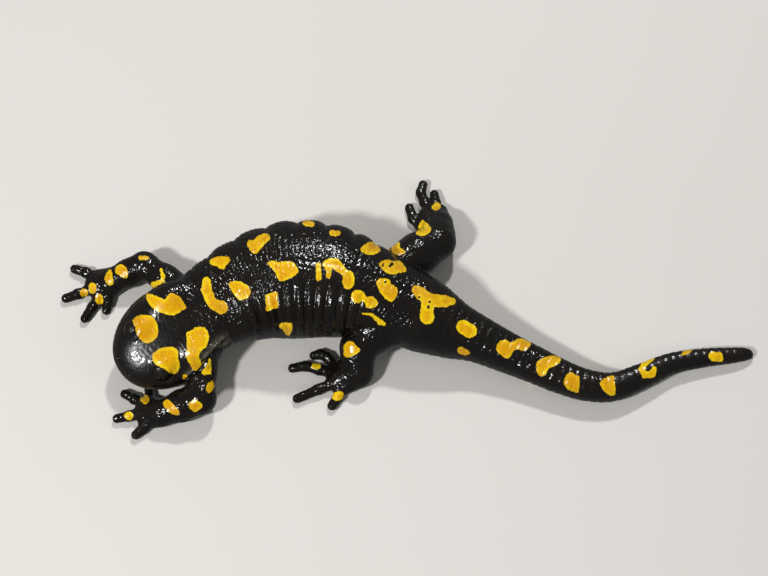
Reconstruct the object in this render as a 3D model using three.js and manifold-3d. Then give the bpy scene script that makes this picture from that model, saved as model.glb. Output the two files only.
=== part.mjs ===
// Fire salamander (Salamandra), life size, a still figure that lies on its belly.
// Millimetres, +Z up. The head points to -X, the tail to +X, and the animal's left side is -Y.
// The origin is the middle of the outline in plan, on the floor.
//
// The body from snout to tail tip is one tube of oval sections, parted into head, neck,
// trunk and tail lengths. Each leg is three round-ended lengths, parted at elbow or knee and
// at wrist or ankle, and each foot is a flat pad with its toes joined to it.

import * as THREE from 'three';
import { mergeVertices } from 'three/addons/utils/BufferGeometryUtils.js';
import Module from 'manifold-3d';

const wasm = await Module();
wasm.setup();

// ---- driving dimensions ----------------------------------------------------------------

const PARTING = 0.3; // gap between neighbouring pieces
const FLAT_DEPTH = 0.35; // how much of each toe, pad and tail length is flattened on the floor
const SQUARENESS = 2.3; // exponent of the oval sections: 2 is an ellipse, more is boxier

// Head: its axis runs straight from the snout tip to the gular fold. Places in the head are
// given as back along the axis from the snout tip, out from it, and up from the mouth.
const SNOUT_TIP = new THREE.Vector2(-91.8, -26.9);
const HEAD_HEADING = THREE.MathUtils.degToRad(34.8); // of the axis from snout to neck, in plan
const HEAD_ROLL = 17; // degrees, the top leans to the animal's left
const HEAD_HALF_WIDTH = 15.8;
const HEAD_ABOVE = 8.4; // from the mouth's level to the crown
const HEAD_BELOW = 6.0; // from the mouth's level to the throat
const SNOUT_LENGTH = 20.5; // the snout is half an ellipse in plan, this long
const SNOUT_BLUNTNESS = 0.75; // under 1 keeps the snout deep towards its tip
const SNOUT_STEPS = 6;
const MOUTH_LEVEL = 9.2; // height of the mouth at the snout tip
const MOUTH_CLIMB = 0.115; // rise of the mouth's level for each millimetre back
const MOUTH_LENGTH = 21.5; // from the snout tip to the angle of the jaw
const LIP_RISE = 0.4; // of the lips' line above the widest level

const EYE = { back: 10.9, out: 8.5, up: 5.7, length: 2.5, width: 2.5, height: 2.5 };
const EYELID = { back: 13.4, out: 6.6, up: 5.3, length: 4.8, width: 3.8, height: 3.3 };
const PAROTOID = { back: 25.0, out: 9.2, up: 3.8, length: 8.2, width: 5.6, height: 5.4 };

// Body behind the mouth, one row for each place on it. x and y are the middle of the section
// in plan, level is the height of its widest line, half is its half width, and above and
// below are its heights from that line. Roll leans the top to the left, in degrees.
const BODY_ROWS = [
  { at: 'jaw angle', back: 24.5, half: 15.6, above: 8.5, below: 6.4, roll: 16.5 },
  { at: 'nape', back: 28.5, half: 14.5, above: 8.6, below: 7.3, roll: 15 },
  { at: 'gular fold', back: 33.0, half: 13.9, above: 8.9, below: 8.6, roll: 12 },
  { at: 'throat', x: -59.2, y: -4.2, level: 12.7, half: 14.9, above: 10.2, below: 11.4, roll: 7 },
  { at: 'shoulders', x: -53.0, y: -0.9, level: 12.6, half: 16.5, above: 12.2, below: 13.0, roll: 3 },
  { at: 'chest', x: -45.5, y: 1.8, level: 12.8, half: 18.0, above: 14.0, below: 13.5, roll: 0 },
  { at: 'mid trunk', x: -37.3, y: 3.0, level: 13.0, half: 19.0, above: 15.2, below: 13.8, roll: 0 },
  { at: 'belly', x: -28.4, y: 3.0, level: 13.0, half: 18.7, above: 15.2, below: 13.8, roll: 0 },
  { at: 'loin', x: -19.5, y: 1.6, level: 12.6, half: 17.2, above: 14.5, below: 13.3, roll: 0 },
  { at: 'flank', x: -12.6, y: 0.0, level: 12.0, half: 15.1, above: 13.4, below: 12.6, roll: 0 },
  { at: 'hips', x: -6.4, y: -2.2, level: 11.4, half: 13.3, above: 12.4, below: 11.9, roll: 0 },
  { at: 'pelvis', x: 0.4, y: -4.9, level: 10.6, half: 12.7, above: 11.4, below: 11.1, roll: 0 },
  { at: 'vent', x: 7.4, y: -8.2, level: 9.7, half: 12.1, above: 10.6, below: 10.1, roll: 0 },
  { at: 'tail root', x: 15.2, y: -11.8, level: 8.5, half: 9.8, above: 9.2, below: 8.85, roll: 0 },
  { at: 'tail base', x: 23.4, y: -14.8, level: 7.3, half: 7.6, above: 7.9, below: 7.65, roll: 0 },
];

// Tail behind its base: it is a little deeper than it is wide, and lies on the floor.
const TAIL_ROWS = [
  { at: 'tail 1', x: 33.8, y: -19.5, half: 6.45 },
  { at: 'tail 2', x: 42.7, y: -23.6, half: 5.85 },
  { at: 'tail 3', x: 50.9, y: -27.4, half: 5.4 },
  { at: 'tail 4', x: 58.6, y: -30.0, half: 5.05 },
  { at: 'tail 5', x: 67.3, y: -30.4, half: 4.6 },
  { at: 'tail 6', x: 77.2, y: -26.3, half: 4.1 },
  { at: 'tail 7', x: 86.6, y: -21.9, half: 3.5 },
  { at: 'tail 8', x: 97.0, y: -19.7, half: 3.05 },
  { at: 'tail 9', x: 105.6, y: -18.7, half: 2.65 },
  { at: 'tail 10', x: 110.6, y: -18.0, half: 2.2 },
  { at: 'tail 11', x: 113.2, y: -17.7, half: 1.4 },
  { at: 'tail tip', x: 114.1, y: -17.6, half: 0 },
];
const TAIL_DEPTH_RATIO = 1.03;
const TAIL_TIP_LEVEL = 1.2;

// Where the body is parted, each length named for its node.
const BODY_LENGTHS = [
  { node: 'neck', from: 'gular fold', to: 'shoulders', rings: 2, sides: 24 },
  { node: 'trunk_front', from: 'shoulders', to: 'mid trunk', rings: 3, sides: 24 },
  { node: 'trunk_middle', from: 'mid trunk', to: 'loin', rings: 3, sides: 24 },
  { node: 'trunk_rear', from: 'loin', to: 'vent', rings: 5, sides: 24 },
  { node: 'tail_base', from: 'vent', to: 'tail 2', rings: 5, sides: 18 },
  { node: 'tail_middle', from: 'tail 2', to: 'tail 6', rings: 7, sides: 14 },
  { node: 'tail_end', from: 'tail 6', to: 'tail tip', rings: 9, sides: 12 },
];
const HEAD_RINGS = 13;
const HEAD_SIDES = 24;
const SNOUT_START = 0.3; // the first ring, as a share of the step to the second row
const TIP_END = 0.3; // the last ring, as a share of the step before the tail tip

// Legs: the path of each runs root, elbow or knee, wrist or ankle, and the middle of the
// foot, with the radius there. Swell is the radius half way along the upper and the lower
// leg. Toes run from the foot outwards, the innermost one first.
const LEGS = [
  {
    side: 'front_left',
    names: ['upper_arm', 'forearm', 'hand'],
    path: [[-65.4, -16.8, 8.8], [-65.6, -35.5, 6.7], [-78.1, -39.2, 3.6], [-82.7, -38.1, 2.3]],
    radii: [4.7, 4.6, 3.9, 2.5],
    swell: [4.6, 4.8],
    pad: [4.0, 5.1, 2.5],
    toes: [
      [[-82.4, -35.0], [-83.1, -29.2]],
      [[-84.5, -35.7], [-87.6, -33.4], [-90.7, -31.7]],
      [[-84.8, -38.2], [-88.8, -39.4], [-92.7, -40.2]],
      [[-82.0, -41.2], [-84.3, -43.9], [-86.4, -45.8]],
    ],
  },
  {
    side: 'front_right',
    names: ['upper_arm', 'forearm', 'hand'],
    path: [[-71.4, 1.0, 8.9], [-86.2, 11.7, 7.2], [-96.8, 7.7, 3.5], [-100.9, 7.3, 2.3]],
    radii: [4.7, 4.2, 3.8, 2.5],
    swell: [4.4, 4.3],
    pad: [5.3, 5.2, 2.5],
    toes: [
      [[-98.8, 3.8], [-98.3, 0.8], [-98.6, -2.0]],
      [[-101.2, 3.4], [-103.4, -1.2], [-105.5, -4.9]],
      [[-102.6, 6.1], [-108.4, 3.9], [-112.3, 2.4]],
      [[-101.8, 9.6], [-106.2, 11.7], [-110.1, 13.2]],
    ],
  },
  {
    side: 'hind_left',
    names: ['thigh', 'shank', 'foot'],
    path: [[-4.4, -9.0, 9.6], [-15.5, -18.0, 8.0], [-15.0, -25.4, 4.1], [-20.4, -26.3, 2.4]],
    radii: [7.2, 5.2, 4.3, 2.7],
    swell: [6.5, 4.9],
    pad: [5.2, 5.7, 2.5],
    toes: [
      [[-18.4, -23.4], [-17.6, -17.2]],
      [[-21.4, -23.2], [-25.4, -18.9], [-27.5, -17.7], [-29.7, -18.2]],
      [[-23.4, -24.6], [-28.0, -23.2], [-32.4, -21.9], [-36.6, -22.7]],
      [[-22.8, -28.0], [-28.2, -30.2], [-34.9, -33.3]],
      [[-19.8, -29.0], [-21.7, -32.8], [-23.6, -35.8]],
    ],
  },
  {
    side: 'hind_right',
    names: ['thigh', 'shank', 'foot'],
    path: [[-1.5, 10.4, 9.6], [11.0, 20.0, 7.8], [11.5, 28.4, 4.1], [9.8, 32.4, 2.4]],
    radii: [6.8, 5.6, 4.4, 2.6],
    swell: [6.9, 5.1],
    pad: [4.6, 5.2, 2.4],
    toes: [
      [[8.1, 31.0], [4.9, 30.8]],
      [[5.6, 28.9], [3.0, 32.1], [1.8, 36.2]],
      [[8.8, 34.0], [7.0, 38.0], [5.7, 42.0], [6.5, 45.1]],
      [[11.0, 34.4], [10.7, 38.2], [10.3, 41.4]],
      [[12.3, 32.4], [13.0, 35.4]],
    ],
  },
];
const TOE_BASE_RADIUS = 1.8;
const TOE_TIP_RADIUS = 1.5;
const FAN_RADIUS = 2.3; // of each toe's bones in the middle of the foot
const TOE_SIDES = 6;
const LEG_SIDES = 10;
const LEG_RINGS = 2;
const CAP_STEPS = 2;

const SKIN_LOOK = { color: 0x0c0c0e, roughness: 0.3, metalness: 0 };
const EYE_LOOK = { color: 0x050505, roughness: 0.05, metalness: 0 };

const FLOOR_SIZE = 400; // more than the figure's length
const HALF_SPACE_SIZE = 90; // more than any leg's length

// ---- the body's line and sections ----------------------------------------------------------

const headAxis = new THREE.Vector2(Math.cos(HEAD_HEADING), Math.sin(HEAD_HEADING));

// A row on the head's axis, so far back from the snout tip.
function headRow(row) {
  return {
    ...row,
    x: SNOUT_TIP.x + headAxis.x * row.back,
    y: SNOUT_TIP.y + headAxis.y * row.back,
    level: MOUTH_LEVEL + MOUTH_CLIMB * row.back,
  };
}

// The snout's rows: an ellipse in plan, and a blunter curve in height.
function snoutRows() {
  const snout = [];
  for (let step = 0; step <= SNOUT_STEPS; step += 1) {
    const angle = (step / SNOUT_STEPS) * Math.PI * 0.5;
    const depth = Math.sin(angle) ** SNOUT_BLUNTNESS;
    snout.push(headRow({
      at: `snout ${step}`,
      back: SNOUT_LENGTH * (1 - Math.cos(angle)),
      half: HEAD_HALF_WIDTH * Math.sin(angle),
      above: HEAD_ABOVE * depth,
      below: HEAD_BELOW * depth,
      roll: HEAD_ROLL,
    }));
  }
  return snout;
}

function tailRow(row) {
  const level = Math.max(row.half - FLAT_DEPTH, TAIL_TIP_LEVEL);
  return { ...row, level, above: row.half * TAIL_DEPTH_RATIO, below: row.half, roll: 0 };
}

const rows = [
  ...snoutRows(),
  ...BODY_ROWS.map((row) => ('back' in row ? headRow(row) : row)),
  ...TAIL_ROWS.map(tailRow),
];
const lastRow = rows.length - 1;

function smoothCurve(points) {
  return new THREE.CatmullRomCurve3(points, false, 'catmullrom', 0.5);
}

const middleLine = smoothCurve(rows.map((row) => new THREE.Vector3(row.x, row.y, row.level)));
const sizeLine = smoothCurve(rows.map((row) => new THREE.Vector3(row.half, row.above, row.below)));
const rollLine = smoothCurve(rows.map((row) => new THREE.Vector3(row.roll, 0, 0)));

function rowIndex(place) {
  return rows.findIndex((row) => row.at === place);
}

// The section at a row number, which may be a fraction.
function sectionAt(index) {
  const t = THREE.MathUtils.clamp(index / lastRow, 0, 1);
  const middle = middleLine.getPoint(t);
  const size = sizeLine.getPoint(t);
  const roll = THREE.MathUtils.degToRad(rollLine.getPoint(t).x);
  const along = middleLine.getTangent(t).setZ(0).normalize();
  const right = new THREE.Vector3(-along.y, along.x, 0);
  return { middle, roll, right, half: size.x, above: size.y, below: size.z };
}

// A point of a section: so far to the animal's right and up, both turned by the roll.
function sectionPoint({ middle, roll, right }, side, rise) {
  const across = side * Math.cos(roll) - rise * Math.sin(roll);
  const up = side * Math.sin(roll) + rise * Math.cos(roll);
  const point = middle.clone().addScaledVector(right, across);
  point.z += up;
  return point;
}

// The row number a small distance along the body from another.
function stepAlong(index, distance) {
  const here = middleLine.getPoint(index / lastRow);
  const probe = 0.05 * Math.sign(distance);
  const there = middleLine.getPoint((index + probe) / lastRow);
  return index + (probe * Math.abs(distance)) / here.distanceTo(there);
}

// ---- solids --------------------------------------------------------------------------------

function toSolid(geometry) {
  geometry.deleteAttribute('normal');
  geometry.deleteAttribute('uv');
  const merged = mergeVertices(geometry, 1e-4);
  const vertProperties = new Float32Array(merged.attributes.position.array);
  const triVerts = new Uint32Array(merged.index.array);
  return new wasm.Manifold(new wasm.Mesh({ numProp: 3, vertProperties, triVerts }));
}

function joinAll(solids) {
  return solids.reduce((whole, solid) => whole.add(solid));
}

// A unit circle's coordinate moved out to the oval.
function bulge(value) {
  return Math.sign(value) * Math.abs(value) ** (2 / SQUARENESS);
}

// A length of the body: a cylinder whose rings are laid on the sections from one row number
// to another, grown all round by a clearance. Its ends are flat.
function bodyTube(from, to, rings, sides, grow = 0) {
  const geometry = new THREE.CylinderGeometry(1, 1, 1, sides, rings);
  const position = geometry.attributes.position;
  for (let i = 0; i < position.count; i += 1) {
    const z = position.getZ(i);
    const section = sectionAt(THREE.MathUtils.lerp(from, to, 0.5 - position.getY(i)));
    const side = (section.half + grow) * bulge(position.getX(i));
    const rise = ((z > 0 ? section.above : section.below) + grow) * bulge(z);
    const point = sectionPoint(section, side, rise);
    position.setXYZ(i, point.x, point.y, point.z);
  }
  return toSolid(geometry);
}

// A round-ended tube along a path of points, each with its radius.
function limbTube(points, radii, rings, sides, grow = 0) {
  const path = smoothCurve(points);
  const girth = smoothCurve(radii.map((radius) => new THREE.Vector3(radius + grow, 0, 0)));
  const straight = 2;
  const geometry = new THREE.CapsuleGeometry(1, straight, CAP_STEPS, sides, rings);
  const position = geometry.attributes.position;
  for (let i = 0; i < position.count; i += 1) {
    const y = position.getY(i);
    const inside = THREE.MathUtils.clamp(y, -straight / 2, straight / 2);
    const t = 0.5 - inside / straight;
    const radius = girth.getPoint(t).x;
    const along = path.getTangent(t);
    const up = new THREE.Vector3(0, 0, 1).addScaledVector(along, -along.z).normalize();
    const right = up.clone().cross(along);
    const point = path.getPoint(t);
    point.addScaledVector(along, (inside - y) * radius);
    point.addScaledVector(right, position.getX(i) * radius);
    point.addScaledVector(up, position.getZ(i) * radius);
    position.setXYZ(i, point.x, point.y, point.z);
  }
  return toSolid(geometry);
}

function ball(matrix, sides, rings) {
  const geometry = new THREE.SphereGeometry(1, sides, rings);
  geometry.applyMatrix4(matrix);
  return toSolid(geometry);
}

function box(width, depth, height, matrix) {
  const geometry = new THREE.BoxGeometry(width, depth, height);
  geometry.applyMatrix4(matrix);
  return toSolid(geometry);
}

// Everything behind a plane: a large box whose face is square to the plane's normal, and
// lies so far past the plane's point.
function behind({ point, normal }, past) {
  const size = HALF_SPACE_SIZE;
  const turn = new THREE.Quaternion().setFromUnitVectors(new THREE.Vector3(0, 0, -1), normal);
  const centre = point.clone().addScaledVector(normal, past - size / 2);
  return box(size, size, size, new THREE.Matrix4().compose(centre, turn, new THREE.Vector3(1, 1, 1)));
}

const floorDepth = 20;
const belowFloor = new THREE.Matrix4().makeTranslation(0, 0, -floorDepth / 2);
const floorBlock = box(FLOOR_SIZE, FLOOR_SIZE, floorDepth, belowFloor);

// ---- head --------------------------------------------------------------------------------

// A unit shape's place in the head: its half sizes, and where its middle goes.
function headMatrix({ back, out, up, length, width, height }) {
  const roll = THREE.MathUtils.degToRad(HEAD_ROLL);
  const row = headRow({ back });
  const backward = new THREE.Vector3(headAxis.x, headAxis.y, MOUTH_CLIMB).normalize();
  const level = new THREE.Vector3(-headAxis.y, headAxis.x, 0);
  const right = level.clone().applyAxisAngle(backward, roll);
  const upward = backward.clone().cross(right);
  const centre = new THREE.Vector3(row.x, row.y, row.level);
  centre.addScaledVector(right, out);
  centre.addScaledVector(upward, up);
  backward.multiplyScalar(length);
  right.multiplyScalar(width);
  upward.multiplyScalar(height);
  return new THREE.Matrix4().makeBasis(backward, right, upward).setPosition(centre);
}

const SIDES = [
  { suffix: 'left', sign: -1 },
  { suffix: 'right', sign: 1 },
];

// A ball of the head on one side, grown all round by a clearance.
function headBall(shape, sign, grow) {
  const { out, length, width, height } = shape;
  const grown = { length: length + grow, width: width + grow, height: height + grow };
  return ball(headMatrix({ ...shape, ...grown, out: sign * out }), 12, 6);
}

// The eyelids' domes and the glands behind the eyes.
function headSwellings(grow) {
  return SIDES.flatMap(({ sign }) => [EYELID, PAROTOID].map((shape) => headBall(shape, sign, grow)));
}

// Everything below the lips' line and in front of the jaw's angle.
function mouthBlock(grow) {
  const length = MOUTH_LENGTH + HEAD_HALF_WIDTH + grow;
  const height = HEAD_HALF_WIDTH * 2;
  const back = MOUTH_LENGTH + grow - length / 2;
  const up = LIP_RISE + grow - height / 2;
  return box(1, 1, 1, headMatrix({ back, out: 0, up, length, width: HEAD_HALF_WIDTH * 3, height }));
}

function headPieces() {
  const end = stepAlong(rowIndex('gular fold'), -PARTING / 2);
  const whole = joinAll([bodyTube(SNOUT_START, end, HEAD_RINGS, HEAD_SIDES), ...headSwellings(0)]);
  const sockets = SIDES.map(({ sign }) => headBall(EYE, sign, PARTING));
  const head = sockets.reduce((solid, socket) => solid.subtract(socket), whole);
  const pieces = {
    head: head.subtract(mouthBlock(PARTING)),
    lower_jaw: whole.intersect(mouthBlock(0)),
  };
  for (const { suffix, sign } of SIDES) {
    pieces[`eye_${suffix}`] = headBall(EYE, sign, 0);
  }
  return pieces;
}

// ---- neck, trunk and tail ------------------------------------------------------------------

function bodyPieces() {
  const pieces = {};
  for (const { node, from, to, rings, sides } of BODY_LENGTHS) {
    const start = stepAlong(rowIndex(from), PARTING / 2);
    const end = to === 'tail tip' ? lastRow - TIP_END : stepAlong(rowIndex(to), -PARTING / 2);
    pieces[node] = bodyTube(start, end, rings, sides).subtract(floorBlock);
  }
  return pieces;
}

// The body as far as the legs reach, grown by the gap, for cutting the legs' roots: a fine
// tube, and the coarser lengths where they stand out from it.
function bodyClearance() {
  const body = bodyTube(SNOUT_START, rowIndex('tail 1'), 44, HEAD_SIDES, PARTING);
  const lengths = BODY_LENGTHS.filter(({ to }) => rowIndex(to) < rowIndex('tail 1'));
  const tubes = lengths.map(({ from, to, rings, sides }) => (
    bodyTube(rowIndex(from), rowIndex(to), rings, sides, PARTING)
  ));
  return joinAll([body, ...tubes, ...headSwellings(PARTING)]);
}

// ---- legs --------------------------------------------------------------------------------

// A toe, with its bones inside the foot from the foot's middle on.
function toeTube(toe, middle) {
  const last = toe.length - 1;
  const radii = toe.map((_, i) => THREE.MathUtils.lerp(TOE_BASE_RADIUS, TOE_TIP_RADIUS, i / last));
  const path = [[middle.x, middle.y], ...toe];
  radii.unshift(FAN_RADIUS);
  const points = path.map(([x, y], i) => new THREE.Vector3(x, y, radii[i] - FLAT_DEPTH / 2));
  return limbTube(points, radii, path.length - 1, TOE_SIDES);
}

function footSolid({ path, pad, toes }) {
  const [wrist, middle] = path.slice(-2);
  const [length, width, height] = pad;
  const heading = Math.atan2(middle.y - wrist.y, middle.x - wrist.x);
  const matrix = new THREE.Matrix4().makeRotationZ(heading);
  matrix.scale(new THREE.Vector3(length, width, height));
  matrix.setPosition(middle.x, middle.y, height - FLAT_DEPTH);
  return joinAll([ball(matrix, 10, 4), ...toes.map((toe) => toeTube(toe, middle))]);
}

// The three straight lengths of a leg, joined: their round ends make the elbow and wrist.
function legShape({ path, radii, swell }, grow) {
  const lengths = [0, 1, 2].map((i) => {
    const between = swell[i] ?? (radii[i] + radii[i + 1]) / 2;
    const half = path[i].clone().lerp(path[i + 1], 0.5);
    const points = [path[i], half, path[i + 1]];
    return limbTube(points, [radii[i], between, radii[i + 1]], LEG_RINGS, LEG_SIDES, grow);
  });
  return joinAll(lengths);
}

// The plane that halves the angle between the lengths that meet at a joint.
function jointPlane(path, joint) {
  const arriving = path[joint].clone().sub(path[joint - 1]).normalize();
  const leaving = path[joint + 1].clone().sub(path[joint]).normalize();
  return { point: path[joint], normal: arriving.add(leaving).normalize() };
}

function legPieces(row, clearance) {
  const leg = { ...row, path: row.path.map((point) => new THREE.Vector3(...point)) };
  const bend = jointPlane(leg.path, 1);
  const ankle = jointPlane(leg.path, 2);
  const near = -PARTING / 2;
  const far = PARTING / 2;
  const shape = legShape(leg, 0).subtract(clearance);
  const keepClear = legShape(leg, PARTING).intersect(behind(ankle, far));
  const toes = footSolid(leg).subtract(keepClear).subtract(clearance);
  const solids = [
    shape.intersect(behind(bend, near)),
    shape.subtract(behind(bend, far)).intersect(behind(ankle, near)),
    toes.add(shape.subtract(behind(ankle, far))),
  ];
  const named = solids.map((solid, i) => [`${row.names[i]}_${row.side}`, solid.subtract(floorBlock)]);
  return Object.fromEntries(named);
}

// ---- the group -----------------------------------------------------------------------------

// A named mesh whose own origin is the middle of its box.
function toMesh(name, solid) {
  const { vertProperties, triVerts } = solid.getMesh();
  const geometry = new THREE.BufferGeometry();
  geometry.setAttribute('position', new THREE.BufferAttribute(vertProperties, 3));
  geometry.setIndex(new THREE.BufferAttribute(triVerts, 1));
  geometry.computeBoundingBox();
  const centre = geometry.boundingBox.getCenter(new THREE.Vector3());
  geometry.translate(-centre.x, -centre.y, -centre.z);
  geometry.computeVertexNormals();
  const look = name.startsWith('eye_') ? EYE_LOOK : SKIN_LOOK;
  const mesh = new THREE.Mesh(geometry, new THREE.MeshStandardMaterial(look));
  mesh.name = name;
  mesh.position.copy(centre);
  return mesh;
}

function groupOf(pieces) {
  const group = new THREE.Group();
  for (const [name, solid] of Object.entries(pieces)) {
    group.add(toMesh(name, solid));
  }
  return group;
}

const clearance = bodyClearance();
const salamander = new THREE.Group();
salamander.add(groupOf(headPieces()));
salamander.add(groupOf(bodyPieces()));
for (const leg of LEGS) {
  salamander.add(groupOf(legPieces(leg, clearance)));
}

// The outline in plan is centred on the origin, and what touches the floor is at zero.
const outline = new THREE.Box3().setFromObject(salamander);
const middle = outline.getCenter(new THREE.Vector3());
salamander.position.set(-middle.x, -middle.y, -outline.min.z);

export default salamander;
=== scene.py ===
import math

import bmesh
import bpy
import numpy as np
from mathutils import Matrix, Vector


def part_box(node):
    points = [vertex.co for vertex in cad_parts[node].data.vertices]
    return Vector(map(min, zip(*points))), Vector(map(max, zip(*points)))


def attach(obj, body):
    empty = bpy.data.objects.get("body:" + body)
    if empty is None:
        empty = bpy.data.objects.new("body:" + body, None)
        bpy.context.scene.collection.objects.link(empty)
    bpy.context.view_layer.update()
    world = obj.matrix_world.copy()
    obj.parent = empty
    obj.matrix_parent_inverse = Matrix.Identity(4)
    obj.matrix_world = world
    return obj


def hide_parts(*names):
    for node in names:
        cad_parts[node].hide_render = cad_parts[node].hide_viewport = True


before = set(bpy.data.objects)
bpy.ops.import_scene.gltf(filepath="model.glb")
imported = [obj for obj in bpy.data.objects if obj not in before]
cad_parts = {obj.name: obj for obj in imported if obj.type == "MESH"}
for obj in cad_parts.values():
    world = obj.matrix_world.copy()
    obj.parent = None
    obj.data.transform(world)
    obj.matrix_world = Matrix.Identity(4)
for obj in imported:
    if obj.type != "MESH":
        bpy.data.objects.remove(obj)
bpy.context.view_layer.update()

# Fire salamander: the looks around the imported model.
# One closed skin replaces every node of flesh. A signed distance is built from the body's rows
# and the legs' paths, its zero surface becomes a mesh, and then folds, grooves and glands are
# pressed into that mesh along its normals. The eyes are pieces of their own.
# Shapes are worked out in millimetres in part coordinates: -X is the snout's end, -Y the
# animal's left, and Z is up from the floor. They become metres in the frame when meshes are made.

MM = 0.001

# ---- the animal's sizes, the same as in the CAD source ----

FLAT_DEPTH = 0.35  # how much of each toe, pad and tail length is flattened on the floor
SQUARENESS = 2.3  # exponent of the oval sections
LEAST_SIZE = 0.05  # of a section, so that none is divided by nothing at the body's ends

SNOUT_TIP = (-91.8, -26.9)
HEAD_HEADING = math.radians(34.8)
HEAD_ROLL = 17.0
HEAD_HALF_WIDTH = 15.8
HEAD_ABOVE = 8.4
HEAD_BELOW = 6.0
SNOUT_LENGTH = 20.5
SNOUT_BLUNTNESS = 0.75
SNOUT_STEPS = 6
MOUTH_LEVEL = 9.2
MOUTH_CLIMB = 0.115
MOUTH_LENGTH = 21.5
LIP_RISE = 0.4

# Places in the head: back from the snout tip, out to the right, up from the mouth. The lids
# and the glands have their half sizes too.
EYE = (10.9, 8.5, 5.7)
EYELID = ((13.4, 6.6, 5.3), (4.8, 3.8, 3.3))
PAROTOID = ((25.0, 9.2, 3.8), (8.2, 5.6, 5.4))

# x, y, level, half width, above, below, roll of each section behind the snout.
# The first three are given by their distance back from the snout tip.
NECK_ROWS = [
    (24.5, 15.6, 8.5, 6.4, 16.5),
    (28.5, 14.5, 8.6, 7.3, 15.0),
    (33.0, 13.9, 8.9, 8.6, 12.0),
]
TRUNK_ROWS = [
    (-59.2, -4.2, 12.7, 14.9, 10.2, 11.4, 7.0),
    (-53.0, -0.9, 12.6, 16.5, 12.2, 13.0, 3.0),
    (-45.5, 1.8, 12.8, 18.0, 14.0, 13.5, 0.0),
    (-37.3, 3.0, 13.0, 19.0, 15.2, 13.8, 0.0),
    (-28.4, 3.0, 13.0, 18.7, 15.2, 13.8, 0.0),
    (-19.5, 1.6, 12.6, 17.2, 14.5, 13.3, 0.0),
    (-12.6, 0.0, 12.0, 15.1, 13.4, 12.6, 0.0),
    (-6.4, -2.2, 11.4, 13.3, 12.4, 11.9, 0.0),
    (0.4, -4.9, 10.6, 12.7, 11.4, 11.1, 0.0),
    (7.4, -8.2, 9.7, 12.1, 10.6, 10.1, 0.0),
    (15.2, -11.8, 8.5, 9.8, 9.2, 8.85, 0.0),
    (23.4, -14.8, 7.3, 7.6, 7.9, 7.65, 0.0),
]
TAIL_ROWS = [
    (33.8, -19.5, 6.45),
    (42.7, -23.6, 5.85),
    (50.9, -27.4, 5.4),
    (58.6, -30.0, 5.05),
    (67.3, -30.4, 4.6),
    (77.2, -26.3, 4.1),
    (86.6, -21.9, 3.5),
    (97.0, -19.7, 3.05),
    (105.6, -18.7, 2.65),
    (110.6, -18.0, 2.2),
    (113.2, -17.7, 1.4),
    (114.1, -17.6, 0.0),
]
TAIL_DEPTH_RATIO = 1.03
TAIL_TIP_LEVEL = 1.2

# Each leg: root, elbow or knee, wrist or ankle, and the middle of the foot, with the radius
# there, the radius half way along its two long parts, the pad's half sizes, and its toes.
LEGS = {
    "front_left": {
        "path": [(-65.4, -16.8, 8.8), (-65.6, -35.5, 6.7), (-78.1, -39.2, 3.6), (-82.7, -38.1, 2.3)],
        "radii": [4.7, 4.6, 3.9, 2.5],
        "swell": [4.6, 4.8],
        "pad": (4.0, 5.1, 2.5),
        "toes": [
            [(-82.4, -35.0), (-83.1, -29.2)],
            [(-84.5, -35.7), (-87.6, -33.4), (-90.7, -31.7)],
            [(-84.8, -38.2), (-88.8, -39.4), (-92.7, -40.2)],
            [(-82.0, -41.2), (-84.3, -43.9), (-86.4, -45.8)],
        ],
    },
    "front_right": {
        "path": [(-71.4, 1.0, 8.9), (-86.2, 11.7, 7.2), (-96.8, 7.7, 3.5), (-100.9, 7.3, 2.3)],
        "radii": [4.7, 4.2, 3.8, 2.5],
        "swell": [4.4, 4.3],
        "pad": (5.3, 5.2, 2.5),
        "toes": [
            [(-98.8, 3.8), (-98.3, 0.8), (-98.6, -2.0)],
            [(-101.2, 3.4), (-103.4, -1.2), (-105.5, -4.9)],
            [(-102.6, 6.1), (-108.4, 3.9), (-112.3, 2.4)],
            [(-101.8, 9.6), (-106.2, 11.7), (-110.1, 13.2)],
        ],
    },
    "hind_left": {
        "path": [(-4.4, -9.0, 9.6), (-15.5, -18.0, 8.0), (-15.0, -25.4, 4.1), (-20.4, -26.3, 2.4)],
        "radii": [7.2, 5.2, 4.3, 2.7],
        "swell": [6.5, 4.9],
        "pad": (5.2, 5.7, 2.5),
        "toes": [
            [(-18.4, -23.4), (-17.6, -17.2)],
            [(-21.4, -23.2), (-25.4, -18.9), (-27.5, -17.7), (-29.7, -18.2)],
            [(-23.4, -24.6), (-28.0, -23.2), (-32.4, -21.9), (-36.6, -22.7)],
            [(-22.8, -28.0), (-28.2, -30.2), (-34.9, -33.3)],
            [(-19.8, -29.0), (-21.7, -32.8), (-23.6, -35.8)],
        ],
    },
    "hind_right": {
        "path": [(-1.5, 10.4, 9.6), (11.0, 20.0, 7.8), (11.5, 28.4, 4.1), (9.8, 32.4, 2.4)],
        "radii": [6.8, 5.6, 4.4, 2.6],
        "swell": [6.9, 5.1],
        "pad": (4.6, 5.2, 2.4),
        "toes": [
            [(8.1, 31.0), (4.9, 30.8)],
            [(5.6, 28.9), (3.0, 32.1), (1.8, 36.2)],
            [(8.8, 34.0), (7.0, 38.0), (5.7, 42.0), (6.5, 45.1)],
            [(11.0, 34.4), (10.7, 38.2), (10.3, 41.4)],
            [(12.3, 32.4), (13.0, 35.4)],
        ],
    },
}
TOE_BASE_RADIUS = 1.8
TOE_TIP_RADIUS = 1.5
FAN_RADIUS = 2.3  # of each toe's bones in the middle of the foot

# ---- how the skin is made ----

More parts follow.
